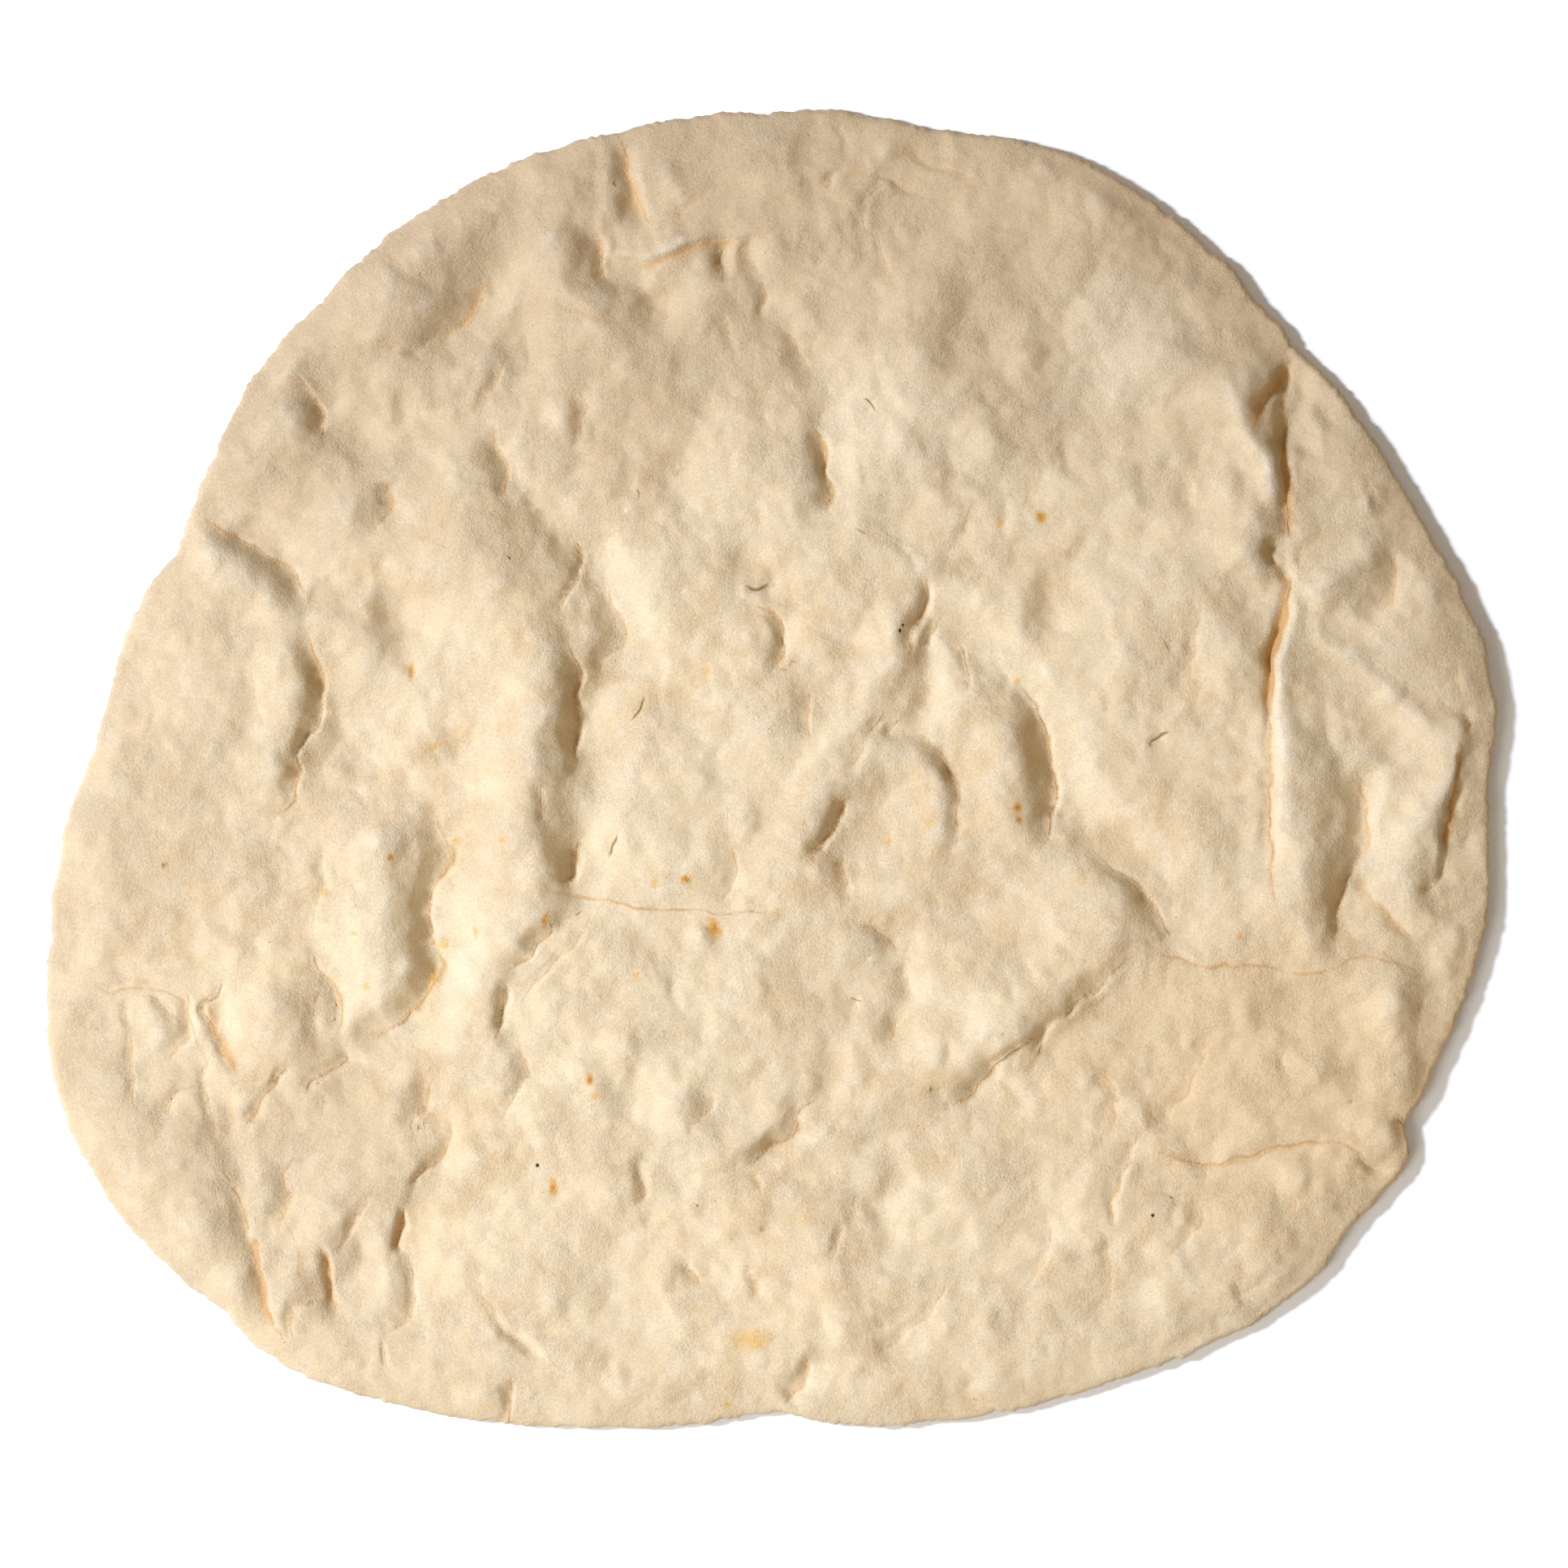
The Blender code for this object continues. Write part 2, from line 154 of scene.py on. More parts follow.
# Colours of the crumb: the numbers between which each grows from nothing to its share, the share,
# and the colour
CREAM = linear(208, 189, 155)
WARM = (0.38, 0.66, 1.0, linear(206, 182, 144))
PALE = (0.3, 0.75, 0.7, linear(213, 199, 171))
# painted shade: the crumb darker where less light falls, towards its edges and in broad patches
BROAD_SHADE = (0.5, 1.25, 1.0, linear(187, 166, 134))
# painted shade in the hollows, browner and darker the deeper they lie
HOLLOW_SHADE = (0.2, 2.2, 0.7, linear(188, 163, 122))
DEEP_SHADE = (2.0, 4.0, 1.0, linear(160, 116, 66))
# painted light on the ridges, which stand above their surroundings
RIDGE_LIGHT = (0.1, 1.6, 0.4, linear(211, 205, 189))
YELLOW = (1.5, 0.2, 0.75, linear(208, 168, 96))
HALO = (1.7, 0.5, 1.0, linear(200, 156, 90))
BROWN = (0.9, -0.1, 0.85, linear(184, 112, 32))
SPECK = (1.1, 0.7, 1.0, linear(62, 54, 44))
UNDERSIDE = (0.0, 1.0, 1.0, linear(200, 172, 131))
# Colours of the fine lines, which are painted shade
LINE_SHADE_TAN = linear(190, 150, 98)
# a warm colour painted as shade deep in the folds
FOLD_SHADE_ORANGE = linear(190, 147, 93)
SLIT_SHADE_OLIVE = linear(134, 118, 72)

# The tiny specks at random places, one to a cell
SPECK_SPACING = 5.0
SPECK_SIZE = 0.17
SPECK_EDGE = (1.1, 0.6)      # where a speck is gone and where full, in its sizes
SPECK_CHOICE = (0.35, 0.4)   # cells with a random number above these have a speck
SPECK_STRENGTH = 0.7

DOUGH_SHADER = {"Roughness": 0.82, "Specular IOR Level": 0.25}
BUMP_HEIGHT = 0.27

# The floor, light and camera
FLOOR_SIZE = 4.0          # in metres
FLOOR_GAP = -0.05
FLOOR_SHADER = {
    "Base Color": (0.95, 0.97, 1.0, 1.0), "Roughness": 0.9, "Specular IOR Level": 0.1,
    # makes up for the warm fill in the shadows
    "Emission Color": (0.0, 0.4, 1.0, 1.0), "Emission Strength": 0.07,
}
LAMPS = {    # direction from +X seen from above, elevation, distance and size in metres, power, colour
    "key": (170, 43, 2.1, 0.32, 51.2, (0.92, 1.018, 1.225)),
    "soft_side": (235, 45, 0.8, 0.4, 2.4, (1.0, 1.0, 1.0)),
}
FILL = {"Color": (1.24, 0.935, 0.54, 1), "Strength": 0.30}
BACKDROP = {"Color": (0.88, 0.88, 0.88, 1)}    # what is seen past the floor's far edge
SENSOR = 36
CAMERA_DISTANCE = 1500    # from the dough's top
CAMERA_REACH = 20         # in metres
FRAME_WIDTH = 345.8       # how much of the floor the picture shows
FRAME_MIDDLE = (2.7, -3.4)

# Spots: x, y, half width, half length, and a turn in degrees, which is 0 where it is left out
LIT_MIDDLE = (12, -45, 192, 145)    # the middle of the painted light, where the crumb is painted palest
PATCHES = [    # broad patches of the crumb: a colour's numbers as above, and the patches. The warm patch is a tone of the crumb, the darker ones are painted shade and the paler ones painted light
    ((1.2, 0.3, 0.8, WARM[-1]), [(115, -68, 55, 45)]),
    ((1.2, 0.3, 0.45, BROAD_SHADE[-1]), [(-8, 118, 32, 20), (-102, -82, 36, 32)]),
    ((1.2, 0.3, 0.35, PALE[-1]), [(28, 75, 30, 20), (78, 95, 22, 18)]),
]
SPOT_HALF_HEIGHT = 60
BROWN_SPOTS = number_rows("""
-12.8 -35.1 1.3 2.2 10, -19 -24.4 1.1 1, 59.4 55.5 1 1.3, 54.1 -8.6 0.9 1.2, 54.4 -11.3 0.7 0.8,
-40.1 -68.6 0.8 1, -48.2 -92.4 0.8 1.6, -79.6 21.5 0.6 1.5, -84 -19.6 0.6 0.7, -50 -33.4 0.6 1.4 -8
""")
YELLOW_SPOTS = number_rows("""
-25.9 -25.3 0.9 1.1, 50.3 54.1 0.8 1.1, -39 -72.1 0.8 1, -98.8 -27.3 0.9 1.1, 25.8 -15.9 0.9 1.1,
103 -37 0.8 1, -72.4 -39 1.3 1.6, -59.4 -15.8 0.8 0.9, -69.8 -16 1.2 1, -74 5 2.4 0.8 24,
-65.3 -36 0.6 1.5 12, -92.2 -36.3 1 0.6, -75 -47 1.2 2.6 -15, -89.5 -48 0.8 0.9, -29.7 -45.8 1 1.2,
-14.6 21.4 0.8 1.1, 54.1 19.2 0.8 1, 34.7 -12 0.9 1, -10 -140.5 1.2 0.8, -4.5 -126 4.4 2.4
""")
DARK_SPECKS = number_rows("""
28.2 30.4 0.35 0.5, 28.9 31.6 0.3 0.35, -51.7 -87.5 0.45 0.5, 84 -98.5 0.45 0.45
""")

# Fine creases that show only by the painted shade in their colour: strength, half width, and the line.
SHADE_LINES = line_rows("""
0.75 0.3: -53 -26.5, -43 -28.3, -37.5 -28.6, -27 -29.7, -16.7 -30, -6.3 -31.3, 5 -33.3
0.75 0.32: 82 -84.7, 90 -86, 98 -87, 109 -85.6, 118 -84.2, 126 -83.6, 130.5 -85.6, 136 -88.6
0.5 0.35: 82.5 -85.5, 78.5 -91, 76.8 -96, 76.6 -101
0.45 0.3: 73.5 -68, 75.6 -72.5, 76.2 -77, 74.6 -82
0.7 0.32: 80 -35, 84 -40, 93 -43.3, 103 -44, 112 -44.6, 119 -44, 125.5 -42.6, 132 -41.7, 139 -43.3,
    145 -47.5
0.7 0.4: 115.2 94, 114.4 89.5, 112.4 84.5, 113 80, 113.6 74.5, 112 69, 113.6 61.5
0.6 0.3: -151 -47, -143 -49, -134 -50, -128 -56, -125 -66
0.5 0.3: -110 -95, -106 -106, -101 -118
""")
# Narrow slits, shown only by painted shade inside them: strength, half width, and the line.
SLITS = line_rows("""
1 0.22: 20.5 82, 22.4 80.4, 23.6 78.4
1 0.22: 83 5, 85.4 6.6, 87.6 7.6
1 0.26: -6 40.8, -4.6 40, -2.4 39.9, 0 40.8
0.8 0.2: 19 52, 20 51.4, 21.6 51.4
0.8 0.2: -30 61.3, -29 60.5, -28.4 59.4
1 0.26: -28.2 15.6, -28.9 12.8, -31 10.3
1 0.26: -34 -14, -35.2 -16.6, -37.7 -18.7
0.8 0.2: 86.5 28.6, 87.4 27.2, 87.6 25.8
0.7 0.2: 16.4 -50.5, 17.4 -51.4, 18.6 -51.8
""")
# Warm painted shade deep in the folds, on the right hand of their lines: strength, about a sixth
# of its width, and the line.
FOLD_SHADES = line_rows("""
0.9 0.8: 115.4 89, 111.5 84.5, 108.5 79.5, 105.5 74.5
1 0.55: 112.4 51.5, 113.8 56, 113.8 60.5, 112.4 64, 111.2 68, 112.6 71.5
1 0.8: 111.5 47.5, 112.8 43, 114.8 40, 113 33, 111.2 27, 110.4 20, 110 10
1 0.35: 149.2 -19, 150.2 -12, 151 -6, 151 0, 151.8 6.5
0.7 0.35: -32 110.6, -20 113, -12 115.5, -5 117.6, -2.5 117.2, 0 119.4, 2.4 122
0.45 0.4: -34.5 140, -32.6 135, -31 130, -29.8 124.6, -28 120.5
0.8 0.4: -3.6 117.6, -5 115.5, -6.4 112
0.35 0.5: 129.6 -19.5, 131 -24, 133 -29.5, 136 -34, 140 -37.5
0.8 0.8: -115 -101, -113 -106, -111 -112, -110.5 -118, -109.6 -125
0.7 0.6: -100 -106, -98 -108.5, -97.5 -112, -96.8 -117, -95 -121
0.8 0.4: -80.3 -96, -80.5 -101, -82 -107
0.9 0.35: -117.8 -69, -120.3 -62, -122.6 -56, -125 -51
0.6 0.5: -61 107, -64.2 104, -66 100, -71 96.5
""")

# The outline, clockwise from the middle of the far edge.
OUTLINE = number_rows("""
0 144.6, 15 145.1, 34.5 141.2, 60 137.3, 80 127.7, 99 112.5, 110.2 99.4, 113.8 95.8, 114.9 93.2,
117.6 91.2, 124.6 83.8, 132.2 73.4, 144 54, 155.5 32, 159.8 13, 158.2 -5, 158.2 -30, 153.5 -49, 144.5 -70,
140.2 -78, 139.8 -87.5, 129 -99.8, 118 -113.8, 100 -125.5, 75 -135.2, 50 -142, 20 -144.9, 0 -142, -22 -145,
-58 -144.4, -85 -139.6, -107.5 -131.6, -120.8 -120, -139 -104, -151.5 -86, -158 -69.5, -159.8 -50,
-156.6 -17, -148.5 7, -143 27.5, -137.6 39.6, -134.4 43.6, -131.4 47.2, -129.4 51.6, -128.2 56.4, -115 85,
-98.5 104, -82 119.3, -55 134.3, -20 143.4
""")

# Ridges: height, how far they reach on the line's right hand and on its left, and the line.
# Lines run towards the near edge, so the right hand is the -X side.
RIDGES = line_rows("""
1.3 8 7: -42 139, -44.5 131, -47 122, -48 113, -44 104, -36 96, -32 88, -25 82, -22 78
1 1.3 2.5: -37.6 118.5, -36.6 114.5, -33.5 112.6, -27 112.8, -20 114.6, -12 117
0.9 3 3: -50 106, -42 103.5, -34 103.8, -27 103
0.7 3.5 3.5: -24 136, -22 131, -19 126
0.6 3 3: -25 114, -21 115, -17 116
0.8 5 5: -16 112, -14 105, -12 96
0.7 6 6: -58 127, -68 120, -77 113
0.8 5 5: -92 96, -102 92, -107 92
0.7 5 5: -110 73, -116 66, -119 63
1.7 7 5: -130 55, -124 49, -117 42, -110 37, -107 30, -106 18, -107 6, -110 0, -112 -7, -114 -12
0.8 4 4: -104 35, -97 32, -91 28, -85 23
1.9 11 10: -69 73, -68 60, -66 50, -63 42, -58 34
2.7 11 8: -58 38, -53 28, -51 18, -52 6, -55 -4, -56 -12, -53 -22, -55 -32, -60 -42, -64 -50, -65 -60
1.6 9 7: -88 -8, -87 -18, -86 -28, -85 -37, -87 -50
0.8 5 5: -110 -62, -112 -68, -114 -74
0.6 3 3: -126 -36, -122 -38, -117 -43
1.2 10 8: -146 -58, -145 -70, -140 -82, -134 -94, -127 -103, -118 -112
0.7 4 3: -140 -51, -136 -56, -133 -62
1.2 5 5: -98 -92, -100 -103, -104 -112, -107 -122
0.6 5 4: -44 -70, -50 -76, -54 -80
1.4 6 5: -17 -66, -20 -74, -17 -81, -10 -84, -3 -79, 2 -72, 5 -67
0.6 3 3: -15 43, -12 39, -10 35
1.4 8 8: 34 113, 32 103, 31 93, 33 86, 40 81, 47 78, 51 73
0.9 5 5: 34 70, 36 64, 38 57
0.7 4 4: 18 56, 20 51, 27 47, 40 43
2 7 6: 22 42, 27 36, 27 29, 24 21, 20 13, 17 5, 11 -5, 8 -13, 6 -21, 8 -31
1.3 4 4: 16 1, 24 4, 32 2, 36 -6, 36 -15, 34 -22
2.1 8 6: 52 14, 52 4, 52 -8, 51 -17
1.3 9 9: 66 130, 72 122, 79 111, 81 102
1.8 9 7: 87 98, 88 89, 96 85, 103 80, 106 74
0.7 6 6: 88 82, 88 74, 88 66
1.9 3.5 3.5: 104 76, 108 70, 110 64, 112.5 58
1.3 8 7: 88 42, 95 38, 100 30, 101 20, 97 14
1.6 4.5 4.5: 133 50, 127 44, 122 38, 119 34
2.2 8 8: 112 16, 115 6, 117 -6, 117 -20, 116 -31, 120 -38, 123 -43
1 2.2 4: 120.5 32, 125 26.5, 131 20.5, 138 14, 145 7
0.8 2.2 2.2: 128 -26, 130 -33, 136 -37.5, 142 -40
1.1 1.6 4: 116.4 43, 114.2 33, 112.2 25, 111.6 12, 111.8 -4, 112.6 -18
1.9 6 3.6: 143 13, 150 8, 150 0, 147 -8, 142 -18, 140 -27, 144 -33, 149 -36
1.5 10 7: 60 -22, 70 -27, 77 -34, 72 -42, 62 -49, 52 -56, 42 -63, 34 -68, 24 -73
""")
# Valleys: the same, below 0.
VALLEYS = line_rows("""
-1.3 4.5 3: -33 138, -31.5 131, -30 124, -27.5 119
-1.2 5 5: -38 113, -33 110, -27 106
-0.4 5 5: -18 142, -16 133, -12 126
-2.2 8 6: -58 119, -61 110, -63 103, -69 97, -77 92
-1.5 6 7: -58 101, -55 93, -51 86
-1 6 6: -99 84, -96 78, -91 74, -88 67
-0.7 2.5 2.5: -80 85, -81 77
-1 3 3: -85 64, -84 58, -83 52
-1.9 5 6: -121 54, -113 51, -106 46, -101 41
-1 5 6: -88 43, -96 42, -103 43
-1.5 7 8: -100 27, -97 17, -92 8, -97 0
-1 4 3: -60 73, -58 66, -57 60
-2.5 6 8: -57 62, -48 56, -41 48, -37 39, -33 28, -37 20, -40 12, -40 4, -40 -3, -42 -13, -41 -23, -41 -33
-2.3 6 9: -77 -3, -73 -11, -71 -20, -73 -31, -73 -41, -77 -52, -85 -59, -93 -65, -96 -70
-1.3 4 7: -54 -38, -57 -47, -58 -56, -56 -65
-0.8 3 4: -109 -39, -101 -39, -97 -47, -96 -57
-1.2 2.5 3: -123 -49, -121 -55, -119 -61
-1.4 4 4: -125 -67, -121 -76, -118 -85, -116 -95, -113 -105
-1 3 3: -105 -87, -107 -94, -109 -101
-1.1 4 5: -90 -98, -92 -108, -95 -117, -95 -125
-1.5 5 5: -75 -66, -75 -74, -74 -86, -77 -96, -79 -106, -78 -113, -78 -120
-0.9 4 4: -28 -66, -31 -72, -33 -78
-0.6 2 2: -28 -83, -26 -87
-1.5 5 5: -2 111, 1 101, 7 92, 11 85, 12 75, 13 64, 13 54
-0.6 4 4: -9 85, -13 82, -15 77
-1 4 4: -10 51, -4 45, 2 40, 3 32, 4 22
-0.6 2 2: 47 61, 44 52
-1.9 6 7: 36 37, 43 30, 50 23, 58 13, 63 3, 66 -6, 72 -14, 82 -19, 86 -28, 91 -36, 93 -42
-1.1 3 4: 35 30, 34 20, 33 12, 28 9
-1.2 4 4: 36 5, 40 0, 43 -8
-1.6 5 5: 27 -33, 28 -40, 30 -49, 27 -57, 26 -62
-2.3 5 4: 115 91, 115 82, 115 74, 116 67
-1.2 2.5 2.5: 111 53, 113 46, 114 40
-0.7 1.5 1.5: 113 35, 111 28, 110 20
-1.2 6 7: 117 31, 121 23, 128 16, 136 8, 139 0
-1.3 4 3: 140 47, 136 40, 131 32
-1.9 4 4: 130 3, 131 -6, 130 -14, 131 -23, 128 -31, 128 -40
-0.9 3 4: 153 -12, 150 -18, 148 -27
-0.6 3 3: 105 7, 104 1, 98 -4, 91 -8
-1.9 6 9: 83 -42, 78 -50, 72 -56, 63 -62, 55 -67, 47 -72, 38 -77
-1.4 4 4: 12 -59, 12 -68, 10 -76, 3 -81, -4 -88
-1.4 4 4: 27 -82, 27 -90, 24 -97, 29 -107
-1.4 4 4: 12 -128, 9 -134, 3 -141
-0.8 4 4: 37 -119, 31 -126, 23 -131
""")

# Mounds, and hollows where the height is below 0: x, y, height, how far they reach towards -X,
# towards +X and to each side, and the turn in degrees. Where the last of these are left out, each
# reach is as the first one, and the turn is 0.
MOUNDS = number_rows("""
-47 113 1.4 7 5 9, -2 137 1 8, 3 131 0.5 5, -2 126 0.4 4 4 5, -83 104 1.6 9 8 10, -76 113 0.5 5 4 4,
-106 85 0.7 4, -107 77 1.7 8 7 10, -94 56 1.1 8 6 6, -122 10 0.6 12 12 20, -46 76 1.5 5 4 6,
-37 65 1.2 5 5 7, -78 5 0.7 7 6 7, -109 -56 1.9 8 8 13, -104 -70 0.5 3 3 5, -115 -28 0.5 8 8 7,
-116 -113 0.8 5 4 5, -62 -131 1.3 8 8 10, -85 -74 0.6 7 6 6, -32 -59 1 7 7 8, -41 -68 1 7 5 6,
-36 -89 1.2 10 6 10, -4 -98 0.6 4, 10 -94 0.4 4, 11 -111 0.9 8 8 13, 15 -119 0.5 5 4 4, 44 -94 0.9 9 9 13,
49 -118 0.7 6, 55 -132 1.1 12 13 6, 37 -137 0.8 7 7 5, 21 -141 0.6 5 5 3, -24 -112 0.7 4,
-48 -117 0.6 3 3 7, -9 -125 0.6 4, -19 -124 0.5 3, -51 -138 0.5 3 3 5, -56 -98 0.5 4, -24 46 0.8 8 7 9,
-5 28 0.9 6 6 11, 1 10 1 7 6 10, -6 -12 0.7 4 4 5, -17 -1 0.6 5, -22 -16 0.6 7 7 5, -22 -24 0.4 4 4 3,
3 60 1.2 12 8 14, -5 70 0.6 9, 27 31 0.7 4 4 5, 14 24 0.5 5 5 4, 42 15 0.8 5 4 9, 18 -38 0.7 5 4 5,
-15 -36 0.7 3, -4 -46 0.7 5 4 7, 1 -56 0.5 2.5 2.5 4, 11 -53 0.7 6 5 6, 68 62 0.6 8 8 5, 58 55 0.5 5,
61 132 0.6 4 4 3, 95 103 0.7 14 12 12, 102 82 1.4 9 6 9, 105 51 2.6 9 5.5 10, 101 62 0.8 5 4 5,
78 20 0.7 8 8 10, 88 34 0.6 10 8 10, 97 -16 0.5 10 9 9, 102 -37 0.6 4, 75 4 0.7 5 4 6, 143 25 0.7 9 8 10,
145 39 0.5 3 3 4, 155 16 0.6 3 3 4, 131 60 0.6 3 3 5, 149 -41 0.9 4 4 6, 137 -50 2.5 8 7 10,
139 -65 1.6 6 5 9, 135 -79 1.1 5 4 5, 121 -66 1.2 6 5 6, 102 -53 1 10 7 6, 92 -58 0.5 3 3 4,
51 -57 1 9 9 7 35, 81 -78 1 5, 87 -84 0.8 6 5 4, 110 -80 0.7 13 11 6, 116 -90 0.6 4, 122 -95 0.6 4,
108 -96 1 8 6 6, 111 -108 1.3 8 7 9, 86 -101 0.5 4, 89 -120 1.2 7 7 9, 88 -108 0.6 6, 98 -116 0.5 6 6 4,
-24.5 102.5 -2 6 7 6, -10 113 -1.6 4 3 5, -4 113 -1.1 4 4 5, -81.5 33 -2.5 8 8 10, -90 5 -0.7 14 12 12,
-28 20 -0.6 10 14 10, -129 -56 -1.1 2.5 2.5 4, -73 -112 -0.5 10 10 13, -27 -96 -0.7 4, -15 -57 -0.8 4,
-45 -46 -0.6 6 6 4, -21 -48 -0.6 2 2 4, -10 -36 -0.7 4, -9 -26 -0.7 4 3 5, 36 124 -0.8 18 18 10,
34.5 137 -1.1 5 5 6, 24 122 -0.5 4 4 6, 46 97 -0.5 9, 67 86 -1.3 9 9 15, 55 117 -0.5 8 8 12,
-20 65 -0.8 8 6 9, -2 82 -0.6 3 3 5, 46 44 -0.7 5 4 5, 28 55 -0.5 4 4 3, 66 -7 -0.6 6 7 8,
62.5 37 -1.8 6 7 9, 22 -13 -1.5 9 8 13 -22, 17 -21 -0.5 4 5 6, 47 -28 -0.7 8 7 7, 118 63 -0.5 4 5 4,
147 -51 -0.7 4 4 5, 87 4 -0.5 5, 113 -53 -0.8 6 7 11, 129 -68 -0.9 4, 124 -78 -0.8 4, 95 -98 -0.8 3 3 3.5,
60 -102 -0.9 4 4 6, 75.5 -108 -0.6 2.5 2.5 3, 77.5 -98 -0.7 1.5 1.5 5, 73 -120 -0.7 4 4 3,
-14 -113 -0.8 6 9 5, -4 -113 -0.5 3 3 6, -40 -135 -0.6 4 4 5, -30 -123 -0.4 8 7 6, -85.5 -135 -0.6 3,
-69.5 4 -0.4 2 2 3, -97.5 43 -0.4 2
""")
